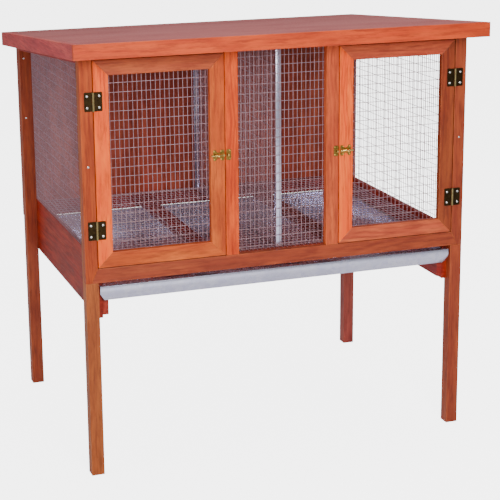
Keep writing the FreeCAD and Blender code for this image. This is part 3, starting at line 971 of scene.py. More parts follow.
class WeldedWire(Recipe):
    """A panel of round wires: close long ones along X, and cross ones along Y welded on top."""

    title = "welded_wire"
    inlets = {"Length": FLOAT, "Width": FLOAT, "Radius": FLOAT, "Waver": FLOAT, "Seed": FLOAT,
              "Long Count": "NodeSocketInt", "Long Start": FLOAT, "Long Pitch": FLOAT,
              "Cross Count": "NodeSocketInt", "Cross Start": FLOAT, "Cross Pitch": FLOAT,
              "Facets": "NodeSocketInt"}

    def wire(self, graph: Graph, inlet: Any) -> bpy.types.NodeSocket:
        """Fill the tree.

        Args:
            graph: The tree.
            inlet: The tree's inputs.

        Returns:
            Both layers of wire.
        """
        layers = []
        sink = graph.math("MULTIPLY", inlet["Radius"], 1.9)
        for along, across, lift in (("Long", "Cross", 0.0), ("Cross", "Long", sink)):
            is_long = along == "Long"
            reach = inlet["Length" if is_long else "Width"]
            spots = {0: 0.0, 1: inlet[along + " Start"], 2: lift}
            steps = {0: 0.0, 1: inlet[along + " Pitch"], 2: 0.0}
            if not is_long:
                spots, steps = {0: spots[1], 1: 0.0, 2: lift}, {0: steps[1], 1: 0.0, 2: 0.0}
            start = graph.add("ShaderNodeCombineXYZ", spots).outputs[0]
            step = graph.add("ShaderNodeCombineXYZ", steps).outputs[0]
            inputs = {"Count": inlet[along + " Count"], "Start Location": start, "Offset": step}
            row = graph.add("GeometryNodeMeshLine", inputs, mode="OFFSET").outputs[0]
            end = graph.add("ShaderNodeCombineXYZ", {0 if is_long else 1: reach}).outputs[0]
            line = graph.add("GeometryNodeCurvePrimitiveLine", {"End": end}, mode="POINTS").outputs[0]
            knots = graph.math("ADD", inlet[across + " Count"], 2.0)
            line = graph.add("GeometryNodeResampleCurve", {"Curve": line, "Count": knots}).outputs[0]
            placed = graph.add("GeometryNodeInstanceOnPoints", {"Points": row, "Instance": line})
            wires = graph.add("GeometryNodeRealizeInstances", {"Geometry": placed.outputs[0]}).outputs[0]
            layers.append(self._tube(graph, inlet, wires, is_long))
        join = graph.add("GeometryNodeJoinGeometry")
        for layer in layers:
            graph.tree.links.new(layer, join.inputs[0])
        return join.outputs[0]

    def _tube(self, graph: Graph, inlet: Any, wires: bpy.types.NodeSocket, is_long: bool) -> Any:
        """Let the wires waver a little, each in its own way, and give them their thickness.

        Args:
            graph: The tree.
            inlet: The tree's inputs.
            wires: The straight centre lines.
            is_long: Whether they run along X.

        Returns:
            The wires as tubes.
        """
        at = graph.add("GeometryNodeInputPosition").outputs[0]
        shifted = graph.add("ShaderNodeCombineXYZ", {2: inlet["Seed"]}).outputs[0]
        scale = (16.0, 83.0, 1.0) if is_long else (41.0, 16.0, 1.0)
        at = graph.vector("ADD", graph.vector("MULTIPLY", at, scale), shifted)
        noise = graph.add("ShaderNodeTexNoise", {"Vector": at, "Scale": 1.0, "Detail": 1.0})
        sway = graph.vector("SUBTRACT", noise.outputs["Color"], (0.5, 0.5, 0.5))
        sway = graph.vector("MULTIPLY", sway, (0.0, 1.0, 0.25) if is_long else (1.0, 0.0, 0.25))
        sway = graph.add("ShaderNodeVectorMath", {0: sway, "Scale": inlet["Waver"]}, operation="SCALE")
        moved = graph.add("GeometryNodeSetPosition", {"Geometry": wires, "Offset": sway.outputs[0]})
        ring = {"Resolution": inlet["Facets"], "Radius": inlet["Radius"]}
        profile = graph.add("GeometryNodeCurvePrimitiveCircle", ring, mode="RADIUS").outputs[0]
        inputs = {"Curve": moved.outputs[0], "Profile Curve": profile, "Fill Caps": True}
        return graph.add("GeometryNodeCurveToMesh", inputs).outputs[0]


class Fastenings(Recipe):
    """Copies of one fastening at each point of the start mesh, turned at random about Y."""

    title = "fastenings"
    inlets = {"Pattern": "NodeSocketObject", "Turn": FLOAT, "Spread": FLOAT, "Seed": "NodeSocketInt"}

    def wire(self, graph: Graph, inlet: Any) -> bpy.types.NodeSocket:
        """Fill the tree.

        Args:
            graph: The tree.
            inlet: The tree's inputs.

        Returns:
            The copies.
        """
        info = graph.add("GeometryNodeObjectInfo", {"Object": inlet["Pattern"]})
        spread = inlet["Spread"]
        low = graph.math("MULTIPLY", spread, -1.0)
        inputs = {2: low, 3: spread, "Seed": inlet["Seed"]}
        chance = graph.add("FunctionNodeRandomValue", inputs, data_type="FLOAT").outputs[1]
        turn = graph.math("ADD", inlet["Turn"], chance)
        turned = graph.add("ShaderNodeCombineXYZ", {1: turn}).outputs[0]
        inputs = {"Points": inlet["Geometry"], "Instance": info.outputs["Geometry"], "Rotation": turned}
        return graph.add("GeometryNodeInstanceOnPoints", inputs).outputs[0]


def scatter(pattern: bmesh.types.BMesh, spots: Sequence[Vector], finish: Finish, seed: int,
            turn: float = 0.0, spread: float = math.pi) -> bpy.types.Mesh:
    """Copies of one small shape, by the fastenings recipe.

    Args:
        pattern: The shape, with its seat at the origin and its outside towards -Y. It is freed.
        spots: Where the seats are.
        finish: Its finish.
        seed: Fixes the random turns.
        turn: The turn about Y that they share.
        spread: The most that one is turned from it.

    Returns:
        A plain mesh.
    """
    holder = bpy.data.objects.new("pattern", to_mesh(pattern, "pattern", [], SMALL_SMOOTH))
    bpy.context.scene.collection.objects.link(holder)
    points = bpy.data.meshes.new("points")
    points.from_pydata([tuple(s) for s in spots], [], [])
    values = {"Pattern": holder, "Turn": turn, "Spread": spread, "Seed": seed,
              "Material": finish.material()}
    mesh = Fastenings().run(values, points)
    bpy.data.objects.remove(holder)
    return mesh


# ---------------------------------------------------------------- timber


@dataclass
class Joinery:
    """Every wooden member, as a board with eased edges and its own grain."""

    arris: float = 1.3 * MM
    segments: int = 2
    shortest_eased: float = 14.0 * MM
    back_board_arris: float = 0.4 * MM
    grain_run: float = 40.0
    pith_reach: float = 0.07
    usual_spread: float = 0.22
    row_spread: float = 0.1
    # Each board's cast holds the stain's real variation together with painted light and shade; the side
    # fascias and side skirts carry painted shade.
    stain_and_shade_casts: dict[str, Cast] = field(default_factory=lambda: {
        "door_left_hinge_stile": Cast.PALE, "door_left_latch_stile": Cast.EVEN,
        "door_left_top_rail": Cast.DEEP, "door_left_bottom_rail": Cast.EVEN,
        "door_right_hinge_stile": Cast.DARK, "door_right_latch_stile": Cast.PALE,
        "door_right_top_rail": Cast.ROSY, "door_right_bottom_rail": Cast.ROSY,
        "mullion_left": Cast.PALE, "mullion_right": Cast.FAIR, "front_rail_bottom": Cast.DEEP,
        "front_stile_left": Cast.EVEN, "front_stile_right": Cast.DEEP,
        "leg_front_left": Cast.AMBER, "leg_front_right": Cast.DEEP,
        "leg_rear_left": Cast.DEEP, "leg_rear_right": Cast.WINE, "roof_fascia_front": Cast.EVEN,
        "roof_fascia_left": Cast.WINE, "roof_fascia_right": Cast.WINE,
        "side_skirt_left": Cast.RUSSET, "side_skirt_right": Cast.RUSSET,
        "back_boards": Cast.CHESTNUT})

    def build(self) -> None:
        """Make all the members, finish by finish."""
        for side in SIDES:
            for member in ("hinge_stile", "latch_stile", "top_rail", "bottom_rail"):
                self.member(f"door_{side}_{member}", DOOR_STAIN)
            for node in ("leg_front", "leg_rear", "front_stile", "mullion"):
                self.member(f"{node}_{side}", FRONT_STAIN)
            # The side rails, side skirts and runners take the darker stain copy that carries painted
            # shade.
            for node in ("side_rail", "side_skirt", "tray_runner"):
                self.member(f"{node}_{side}", INNER_STAIN_AND_SHADE)
            self.member(f"roof_fascia_{side}", FASCIA_STAIN)
        for node in ("front_rail_bottom", "front_rail_top"):
            self.member(node, FRONT_STAIN)
        # These inner members, the roof deck and the back boards take the darker stain copy that carries
        # painted shade.
        for node in ("rear_rail_bottom", "rear_rail_top", "floor_ledger", "floor_bearers"):
            self.member(node, INNER_STAIN_AND_SHADE)
        for node in ("roof_fascia_front", "roof_fascia_rear"):
            self.member(node, FASCIA_STAIN)
        self.member("roof_deck", INNER_STAIN_AND_SHADE)
        self.member("back_boards", INNER_STAIN_AND_SHADE, self.back_board_arris)

    def member(self, node: str, finish: StainedTimber, arris: float | None = None) -> bpy.types.Object:
        """One member, or one row of boards.

        Args:
            node: The CAD node that it stands for.
            finish: Its stain.
            arris: How far its edges are eased, where it differs from the usual.

        Returns:
            The piece.
        """
        shape = merged_copy(node)
        round_arrises(shape, arris or self.arris, self.segments, self.shortest_eased)
        self._lay_grain(shape, random.Random(node), self.stain_and_shade_casts.get(node))
        mesh = to_mesh(shape, node + "_timber", [finish.material()])
        slot = Slot.ROOF if node.startswith("roof") else finish.slot
        return settle(mesh, node + "_timber", slot, node)

    def _lay_grain(self, shape: bmesh.types.BMesh, chance: random.Random, cast: Cast | None) -> None:
        """Give each board its own length-wise coordinates and a cast of its own.

        Args:
            shape: The boards.
            chance: The source of each board's luck.
            cast: The board's colour shift, its stain and painted light and shade together, or None to
                leave it to luck.
        """
        board = shape.verts.layers.float_vector.new("board")
        took = shape.verts.layers.float_vector.new("cast")
        boards = islands(shape)
        spread = self.usual_spread
        if cast:
            spread = 0.0 if len(boards) == 1 else self.row_spread
        for members in boards:
            spans = [max(v.co[i] for v in members) - min(v.co[i] for v in members) for i in range(3)]
            order = sorted(range(3), key=lambda i: -spans[i])
            along = chance.uniform(0.0, self.grain_run)
            across = [chance.uniform(-self.pith_reach, self.pith_reach) for _ in range(2)]
            shift = Vector((along, *across))
            middle = Vector([sum(v.co[i] for v in members) / len(members) for i in range(3)])
            luck = Vector((chance.uniform(-spread, spread), chance.uniform(-spread, spread), 0.0))
            for vert in members:
                near = vert.co - middle
                vert[board] = Vector([near[i] for i in order]) + shift
                vert[took] = Vector((cast or Cast.EVEN).value) + luck


# ---------------------------------------------------------------- roof felt


@dataclass
class FeltSkin:
    """The roofing felt, one sheet dressed to the deck with a soft edge."""

    edge: float = 0.8 * MM
    shortest_eased: float = 10 * MM

    def build(self) -> bpy.types.Object:
        """Make the felt.

        Returns:
            The piece.
        """
        shape = merged_copy("roof_felt")
        round_arrises(shape, self.edge, 2, self.shortest_eased)
        mesh = to_mesh(shape, "roof_felt_sheet", [ROOF_FELT.material()], METAL_SMOOTH)
        return settle(mesh, "roof_felt_sheet", Slot.FELT, "roof_felt")


# ---------------------------------------------------------------- mesh panels


@dataclass
class MeshPanel:
    """One panel of welded wire, laid where its CAD node is."""

    node: str
    long_axis: Axis
    cross_axis: Axis
    layer_axis: Axis
    sloping: bool = False
    wire: float = 1.6 * MM
    long_pitch: float = 12.7 * MM
    cross_pitch: float = 25.4 * MM
    waver: float = 1.3 * MM
    facets: int = 6
    smooth_below: float = 75.0
    clear_of_roof: float = 0.1 * MM

    def build(self) -> bpy.types.Object:
        """Make the panel.

        Returns:
            The piece.
        """
        low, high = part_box(self.node)
        length = (high - low)[self.long_axis.value]
        width = (high - low)[self.cross_axis.value]
        long_count, long_start = self._spaced(width, self.long_pitch)
        cross_count, cross_start = self._spaced(length, self.cross_pitch)
        values = {"Length": length, "Width": width, "Radius": self.wire / 2, "Waver": self.waver,
                  "Seed": float(sum(map(ord, self.node)) % 97), "Facets": self.facets,
                  "Long Count": long_count, "Long Start": long_start, "Long Pitch": self.long_pitch,
                  "Cross Count": cross_count, "Cross Start": cross_start,
                  "Cross Pitch": self.cross_pitch, "Material": MESH_ZINC.material()}
        mesh = WeldedWire().run(values)
        corner = low + self.layer_axis.unit() * (self.wire / 2)
        columns = [axis.unit() for axis in (self.long_axis, self.cross_axis, self.layer_axis)]
        turn = Matrix((columns[0], columns[1], columns[2])).transposed().to_4x4()
        mesh.transform(Matrix.Translation(corner) @ turn)
        shape = bmesh.new()
        shape.from_mesh(mesh)
        bmesh.ops.remove_doubles(shape, verts=shape.verts, dist=1e-6)
        if self.sloping:
            self._cut_to_roof(shape)
        bmesh.ops.recalc_face_normals(shape, faces=shape.faces)
        made = to_mesh(shape, self.node + "_wires", [MESH_ZINC.material()], self.smooth_below)
        return settle(made, self.node + "_wires", Slot.WIRE, self.node)

    def _spaced(self, span: float, pitch: float) -> tuple[int, float]:
        """How many wires fit in a span, and where the first one lies.

        Args:
            span: The panel's size across the wires.
            pitch: The distance between them.

        Returns:
            The count and the first wire's place.
        """
        inner = span - self.wire
        gaps = int(inner / pitch + 1e-6)
        return gaps + 1, self.wire / 2 + (inner - gaps * pitch) / 2

    def _cut_to_roof(self, shape: bmesh.types.BMesh) -> None:
        """Cut the panel off along the underside of the roof deck and close the wire ends.

        Args:
            shape: The panel.
        """
        deck_low, deck_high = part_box("roof_deck")
        fall = Vector((0.0, deck_high.y - deck_low.y, self._fall_height())).normalized()
        up = Vector((0.0, -fall.z, fall.y))
        front_edge = Vector((0.0, deck_low.y, deck_low.z - self._fall_height() - self.clear_of_roof))
        parts = [*shape.verts, *shape.edges, *shape.faces]
        bmesh.ops.bisect_plane(shape, geom=parts, plane_co=front_edge, plane_no=up, clear_outer=True)
        loose = [e for e in shape.edges if e.is_boundary]
        bmesh.ops.holes_fill(shape, edges=loose, sides=0)

    @staticmethod
    def _fall_height() -> float:
        """How far the deck's underside falls from front to back, as a negative height."""
        corners = [v.co for v in frame["nodes"]["roof_deck"].data.vertices]
        front = min(corners, key=lambda c: (round(c.y, 5), c.z))
        back = min(corners, key=lambda c: (-round(c.y, 5), c.z))
        return back.z - front.z


def mesh_panels() -> list[MeshPanel]:
    """All the wire panels of the hutch.

    Returns:
        The panels, not yet built.
    """
    upright = (Axis.Z, Axis.X, Axis.Y)
    sideways = (Axis.Z, Axis.Y, Axis.X)
    panels = [MeshPanel(f"door_{side}_mesh", *upright) for side in SIDES]
    panels.append(MeshPanel("centre_mesh", *upright))
    panels += [MeshPanel(f"side_mesh_{side}", *sideways, sloping=True) for side in SIDES]
    panels.append(MeshPanel("divider_mesh", *sideways, sloping=True))
    panels.append(MeshPanel("floor_mesh", Axis.Y, Axis.X, Axis.Z))
    return panels


# ---------------------------------------------------------------- sheet metal


@dataclass
class SheetWork:
    """The droppings tray and the folded channels that hold the divider."""

    fold: float = 0.35 * MM
    shortest_fold: float = 8 * MM
    gentlest_fold: float = 20.0
    rim_radius: float = 1.6 * MM
    rim_rise: float = 0.85 * MM
    rim_facets: int = 10
    rim_clearance: float = 0.05 * MM
    rim_corner: float = 6 * MM

    def build(self) -> None:
        """Make the tray and the channels."""
        self.tray()
        shape = merged_copy("divider_channels")
        round_arrises(shape, self.fold, 2, self.shortest_fold)
        mesh = to_mesh(shape, "divider_channel_pair", [TRAY_ZINC.material()], METAL_SMOOTH)
        settle(mesh, "divider_channel_pair", Slot.SHEET, "divider_channels")

    def tray(self) -> bpy.types.Object:
        """The folded tray with a wired rim along its sides and back.

        Returns:
            The piece.
        """
        sheet = merged_copy("tray")
        round_arrises(sheet, self.fold, 2, self.shortest_fold, self.gentlest_fold)
        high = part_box("tray")[1]
        half = self._rim_half_width()
        inset = self.rim_radius + self.rim_clearance
        level = high.z + self.rim_rise - self.rim_radius
        corner = self.rim_corner
        start = self._rim_start()
        bends = arc((-half + inset + corner, high.y - inset - corner), corner, 180, 90, 5)
        bends += arc((half - inset - corner, high.y - inset - corner), corner, 90, 0, 5)
        line = [(-half + inset, start), *bends, (half - inset, start)]
        route = [Vector((px, py, level)) for px, py in line]
        # The rim tube takes the darker zinc copy, painted shade that dims its highlight.
        whole = joined([sheet, self._tube(route)], [0, 1])
        mesh = to_mesh(whole, "tray_folded", [TRAY_ZINC.material(), RIM_ZINC_SHADED.material()], METAL_SMOOTH)
        return settle(mesh, "tray_folded", Slot.SHEET, "tray")

    @staticmethod
    def _rim_half_width() -> float:
        """Half the width of the pan at its rim, behind the wider apron."""
        corners = [v.co for v in frame["nodes"]["tray"].data.vertices]
        back = max(c.y for c in corners)
        return max(c.x for c in corners if c.y > back - 1 * MM)

    def _rim_start(self) -> float:
        """Where the raised rim starts, behind the apron."""
        corners = [v.co for v in frame["nodes"]["tray"].data.vertices]
        top = max(c.z for c in corners)
        return min(c.y for c in corners if c.z > top - 0.5 * MM) + self.rim_radius

    def _tube(self, route: Sequence[Vector]) -> bmesh.types.BMesh:
        """A closed round tube along a level route.

        Args:
            route: Its centre line.

        Returns:
            A new edit mesh.
        """
        shape, rings = bmesh.new(), []
        for i, spot in enumerate(route):
            ahead = (route[min(i + 1, len(route) - 1)] - route[max(i - 1, 0)]).normalized()
            out = ahead.cross(UP)
            ring = []
            for k in range(self.rim_facets):
                angle = math.tau * k / self.rim_facets
                reach = out * math.cos(angle) + UP * math.sin(angle)
                ring.append(shape.verts.new(spot + reach * self.rim_radius))
            rings.append(ring)
        skin(shape, rings)
        bmesh.ops.recalc_face_normals(shape, faces=shape.faces)
        return shape


# ---------------------------------------------------------------- ironmongery


@dataclass
class ButtHinges:
    """The two butt hinges of each door: leaves with round corners, knuckles and pins."""

    corner: float = 2.6 * MM
    edge: float = 0.35 * MM
    knuckle_radius: float = 3.0 * MM
    knuckle_gap: float = 0.3 * MM
    leaf_thickness: float = 1.2 * MM
    pin_radius: float = 1.5 * MM
    pin_head: float = 2.1 * MM
    pin_clearance: float = 0.6 * MM
    knuckle_ease: float = 0.4 * MM
    turning_room: float = 0.4 * MM
    leaf_seat: float = 0.1 * MM
    axis_x: float = field(init=False)
    axis_y: float = field(init=False)
    spans: list[Pair] = field(init=False)

    def __post_init__(self) -> None:
        """Read where the pins stand and how high each hinge is."""
        low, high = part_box("hinge_pins")
        self.axis_x = high.x - self.pin_radius
        self.axis_y = (low.y + high.y) / 2
        self.spans = self._hinge_spans()

    def build(self) -> None:
        """Make the leaves of both sides and all four pins."""
        for side, hand in HANDS.items():
            for node, towards in ((f"frame_hinge_leaves_{side}", -1), (f"door_{side}_hinge_leaves", 1)):
                shapes, slots = [], []
                for span in self.spans:
                    for shape, slot in self._leaf(node, span, towards):
                        shapes.append(shape if hand > 0 else mirrored_x(shape))
                        slots.append(slot)
                materials = [HINGE_METAL.material(), KNUCKLE_METAL.material()]
                mesh = to_mesh(joined(shapes, slots), node + "_brass", materials, METAL_SMOOTH)
                settle(mesh, node + "_brass", Slot.HINGE, node)
        self._pins()

    def _hinge_spans(self) -> list[Pair]:
        """The low and high Z of each hinge on one door, from its pins."""
        heights = sorted({round(v.co.z, 6) for v in frame["nodes"]["hinge_pins"].data.vertices})
        return list(zip(heights[::2], heights[1::2]))

    def _leaf(self, node: str, span: Pair, towards: int) -> list[tuple[bmesh.types.BMesh, int]]:
        """One leaf and its knuckles on the left door.

        Args:
            node: The CAD node, for how far the leaf reaches.
            span: The hinge's low and high Z.
            towards: -1 for the frame's leaf and 1 for the door's.

        Returns:
            Edit meshes, each with its material slot.
        """
        low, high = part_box(node.replace("right", "left"))
        far = low.x if towards < 0 else high.x
        near = -self.axis_x + towards * self.pin_clearance
        third = (span[1] - span[0]) / 3
        gap = self.knuckle_gap / 2
        inner = (span[0] + third + gap, span[1] - third - gap)
        rest = [(span[0], span[0] + third), (span[1] - third, span[1])]
        knuckles = rest if towards < 0 else [inner]
        outline = self._outline(near, far, span, inner, towards)
        face_y = self.axis_y + self.knuckle_radius + self.leaf_seat
        made = [(plate(outline, (face_y - self.leaf_thickness, face_y), self.edge), 0)]
        ease, radius = self.knuckle_ease, self.knuckle_radius
        for start, end in knuckles:
            length = end - start
            profile = [(0.0, radius - ease), (ease, radius), (length - ease, radius),
                       (length, radius - ease)]
            made.append((lathe(profile, UP, Vector((-self.axis_x, self.axis_y, start)), 20), 1))
        return made

    def _outline(self, near: float, far: float, span: Pair, inner: Pair, towards: int) -> list[Pair]:
        """A leaf's outline, notched where the other leaf's knuckles turn.

        Args:
            near: X beside the pin.
            far: X of the free edge.
            span: The hinge's low and high Z.
            inner: Low and high Z of the middle knuckle.
            towards: -1 for the frame's leaf and 1 for the door's.

        Returns:
            Points of (x, z).
        """
        clear = -self.axis_x + towards * (self.knuckle_radius + self.turning_room)
        r = self.corner
        low_corner = arc((far - towards * r, span[0] + r), r, 270, 270 + towards * 90, 4)
        high_corner = arc((far - towards * r, span[1] - r), r, 90 - towards * 90, 90, 4)
        outer = low_corner + high_corner
        if towards < 0:
            return [(near, span[0])] + outer + [(near, span[1]), (near, inner[1]), (clear, inner[1]),
                                                (clear, inner[0]), (near, inner[0])]
        return [(clear, span[0])] + outer + [(clear, span[1]), (clear, inner[1]), (near, inner[1]),
                                             (near, inner[0]), (clear, inner[0])]

    def _pins(self) -> None:
        """The four pins, each with a low domed head at both ends."""
        shapes = []
        for span in self.spans:
            for hand in (-1, 1):
                length = span[1] - span[0]
                dome = [(-0.7 * MM, 0.5 * MM), (-0.5 * MM, 1.4 * MM), (-0.1 * MM, self.pin_head),
                        (0.1 * MM, self.pin_radius)]
                profile = dome + [(length - z, r) for z, r in reversed(dome)]
                at = Vector((hand * self.axis_x, self.axis_y, span[0]))
                shapes.append(lathe(profile, UP, at, 16))
        mesh = to_mesh(joined(shapes), "hinge_pin_set", [KNUCKLE_METAL.material()], METAL_SMOOTH)
        settle(mesh, "hinge_pin_set", Slot.HINGE, "hinge_pins")


@dataclass
class BarrelBolt:
    """The barrel bolt of one door: stamped plate, raised straps, turned knob and a keeper."""

    side: str
    plate_thickness: float = 1.2 * MM
    strap_radius: float = 4.6 * MM
    strap_wall: float = 1.1 * MM
    strap_width: float = 4.0 * MM
    bolt_radius: float = 3.0 * MM
    cheek_radius: float = 4.3 * MM
    cheek_wall: float = 0.9 * MM
    slot_half: float = 2.3 * MM
    ear: float = 4.0 * MM
    plate_edge: float = 0.3 * MM
    shortest_scoop: float = 1 * MM
    knob_neck: float = 1.8 * MM
    knob_collar: float = 2.4 * MM
    knob_ball: float = 3.6 * MM
    hand: int = field(init=False)
    height: float = field(init=False)
    face_y: float = field(init=False)
    rod_y: float = field(init=False)

    def __post_init__(self) -> None:
        """Read where the bolt's axis and the face behind the plate lie."""
        self.hand = HANDS[self.side]
        bolt_low, bolt_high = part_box(f"door_{self.side}_bolt")
        self.height = (bolt_low.z + bolt_high.z) / 2
        plate_low, plate_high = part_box(f"door_{self.side}_bolt_plate")
        self.face_y = plate_high.y
        self.rod_y = plate_low.y + self.strap_radius

    def build(self) -> None:
        """Make the plate, the keeper and the bolt."""
        for node in (f"door_{self.side}_bolt_plate", f"bolt_keeper_{self.side}"):
            self._plate(node)
        self._bolt(f"door_{self.side}_bolt")

    def _strap_starts(self, node: str) -> list[float]:
        """The low X of each raised strap of a plate.

        Args:
            node: The plate's CAD node.

        Returns:
            One X for each strap.
        """
        front = [v.co.x for v in frame["nodes"][node].data.vertices
                 if v.co.y < self.rod_y - 0.6 * self.strap_radius]
        ordered = sorted({round(x, 5) for x in front})
        return [x for i, x in enumerate(ordered) if i % 2 == 0]

    def _plate(self, node: str) -> None:
        """One plate with its straps.

        Args:
            node: The CAD node that it stands for.
        """
        low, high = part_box(node)
        straps = self._strap_starts(node)
        outline = self._eared_outline((low.x, high.x), (low.z, high.z))
        shapes = [plate(outline, (self.face_y - self.plate_thickness, self.face_y), self.plate_edge)]
        shapes += [self._strap(start) for start in straps]
        if len(straps) > 1:
            shapes += self._cheeks(straps[0] + self.strap_width, straps[-1])
        slots = [1] + [0] * (len(shapes) - 1)
        materials = [BOLT_METAL.material(), PLATE_METAL.material()]
        mesh = to_mesh(joined(shapes, slots), node + "_brass", materials, METAL_SMOOTH)
        settle(mesh, node + "_brass", Slot.BOLT, node)

    def _eared_outline(self, x: Pair, z: Pair) -> list[Pair]:
        """A plate outline with rounded ears at its corners and scooped long edges.

        Args:
            x: Its low and high X.
            z: Its low and high Z.

        Returns:
            Points of (x, z), anticlockwise.
        """
        r = self.ear
        scoop = (x[1] - x[0]) / 2 - 2 * r
        mid = (x[0] + x[1]) / 2
        points = arc((x[0] + r, z[0] + r), r, 180, 270, 4)
        if scoop > self.shortest_scoop:
            points += arc((mid, z[0]), scoop, 180, 0, 8)
        points += arc((x[1] - r, z[0] + r), r, 270, 360, 4)
        points += arc((x[1] - r, z[1] - r), r, 0, 90, 4)
        if scoop > self.shortest_scoop:
            points += arc((mid, z[1]), scoop, 0, -180, 8)
        points += arc((x[0] + r, z[1] - r), r, 90, 180, 4)
        return points

    def _strap(self, start: float) -> bmesh.types.BMesh:
        """A strap bent over the bolt, with a foot on each side.

        Args:
            start: Its low X.

        Returns:
            A new edit mesh.
        """
        lines = []
        for radius in (self.strap_radius, self.strap_radius - self.strap_wall):
            feet = -self._foot()
            lines.append([(feet, -radius)] + arc((0.0, 0.0), radius, -90, 90, 12) + [(feet, radius)])
        return self._wall(lines[0], lines[1], start, start + self.strap_width)

    def _cheeks(self, start: float, end: float) -> list[bmesh.types.BMesh]:
        """The barrel between the straps, in two halves that leave a slot for the knob.

        Args:
            start: Its low X.
            end: Its high X.

        Returns:
            The upper and the lower half.
        """
        slot = math.degrees(math.asin(self.slot_half / self.cheek_radius))
        halves = []
        for hand in (1, -1):
            lines = []
            for radius in (self.cheek_radius, self.cheek_radius - self.cheek_wall):
                curve = [(out, hand * up) for out, up in arc((0.0, 0.0), radius, slot, 90, 7)]
                lines.append(curve + [(-self._foot(), hand * radius)])
            halves.append(self._wall(lines[0], lines[1], start, end))
        return halves

    def _foot(self) -> float:
        """How far the bolt's axis stands off the middle of the plate."""
        return self.face_y - self.plate_thickness * 0.5 - self.rod_y

    def _wall(self, outer: Sequence[Pair], inner: Sequence[Pair], start: float,
              end: float) -> bmesh.types.BMesh:
        """A bent wall between two lines of points, carried along X.

        Args:
            outer: Points of (out, up) from the bolt's axis.
            inner: As many points of the inside.
            start: The low X.
            end: The high X.

        Returns:
            A new edit mesh.
        """
        shape = bmesh.new()
        rings = []
        for x in (start, end):
            rings.append([[shape.verts.new((x, self.rod_y - out, self.height + up)) for out, up in line]
                          for line in (outer, inner)])
        (outer_a, inner_a), (outer_b, inner_b) = rings
        for i in range(len(outer) - 1):
            j = i + 1
            shape.faces.new((outer_a[i], outer_a[j], outer_b[j], outer_b[i]))
            shape.faces.new((inner_a[j], inner_a[i], inner_b[i], inner_b[j]))
            shape.faces.new((outer_a[j], outer_a[i], inner_a[i], inner_a[j]))
            shape.faces.new((outer_b[i], outer_b[j], inner_b[j], inner_b[i]))
        for i in (0, len(outer) - 1):
            shape.faces.new((outer_a[i], outer_b[i], inner_b[i], inner_a[i]))
        bmesh.ops.recalc_face_normals(shape, faces=shape.faces)
        return shape

    def _bolt(self, node: str) -> None:
        """The sliding bolt with its turned knob.

        Args:
            node: The CAD node that it stands for.
        """
        low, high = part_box(node)
        r, length = self.bolt_radius, high.x - low.x
        nose = [(length - 1.2 * MM, r), (length - 0.4 * MM, 0.8 * r), (length, 0.45 * r)]
        profile = [(0.0, r - 0.5 * MM), (0.5 * MM, r), *nose]
        start = low.x if self.hand > 0 else high.x
        at = Vector((start, self.rod_y, self.height))
        rod = lathe(profile, Vector((float(self.hand), 0.0, 0.0)), at, 20)
        turned = self._knob(node, self.rod_y - low.y)
        mesh = to_mesh(joined([rod, turned]), node + "_brass", [BOLT_METAL.material()], METAL_SMOOTH)
        settle(mesh, node + "_brass", Slot.BOLT, node)

    def _knob(self, node: str, reach: float) -> bmesh.types.BMesh:
        """The turned knob: a neck, a collar and a ball.

        Args:
            node: The bolt's CAD node.
            reach: How far the knob stands off the bolt's axis.

        Returns:
            A new edit mesh.
        """
        neck, radius = self.knob_neck, self.knob_ball
        ball = reach - radius
        profile = [(0.0, neck), (3.4 * MM, neck), (4.2 * MM, self.knob_collar), (5.0 * MM, 1.9 * MM)]
        for degrees in (-55, -35, -12, 12, 35, 55, 75):
            angle = math.radians(degrees)
            profile.append((ball + radius * math.sin(angle), radius * math.cos(angle)))
        at = Vector((self._knob_x(node), self.rod_y, self.height))
        return lathe(profile, Vector((0.0, -1.0, 0.0)), at, 16)

    @staticmethod
    def _knob_x(node: str) -> float:
        """Where the knob stands along the bolt."""
        corners = [v.co for v in frame["nodes"][node].data.vertices]
        tip = min(corners, key=lambda c: c.y)
        near = [c.x for c in corners if c.y < tip.y + 3 * MM]
        return (min(near) + max(near)) / 2


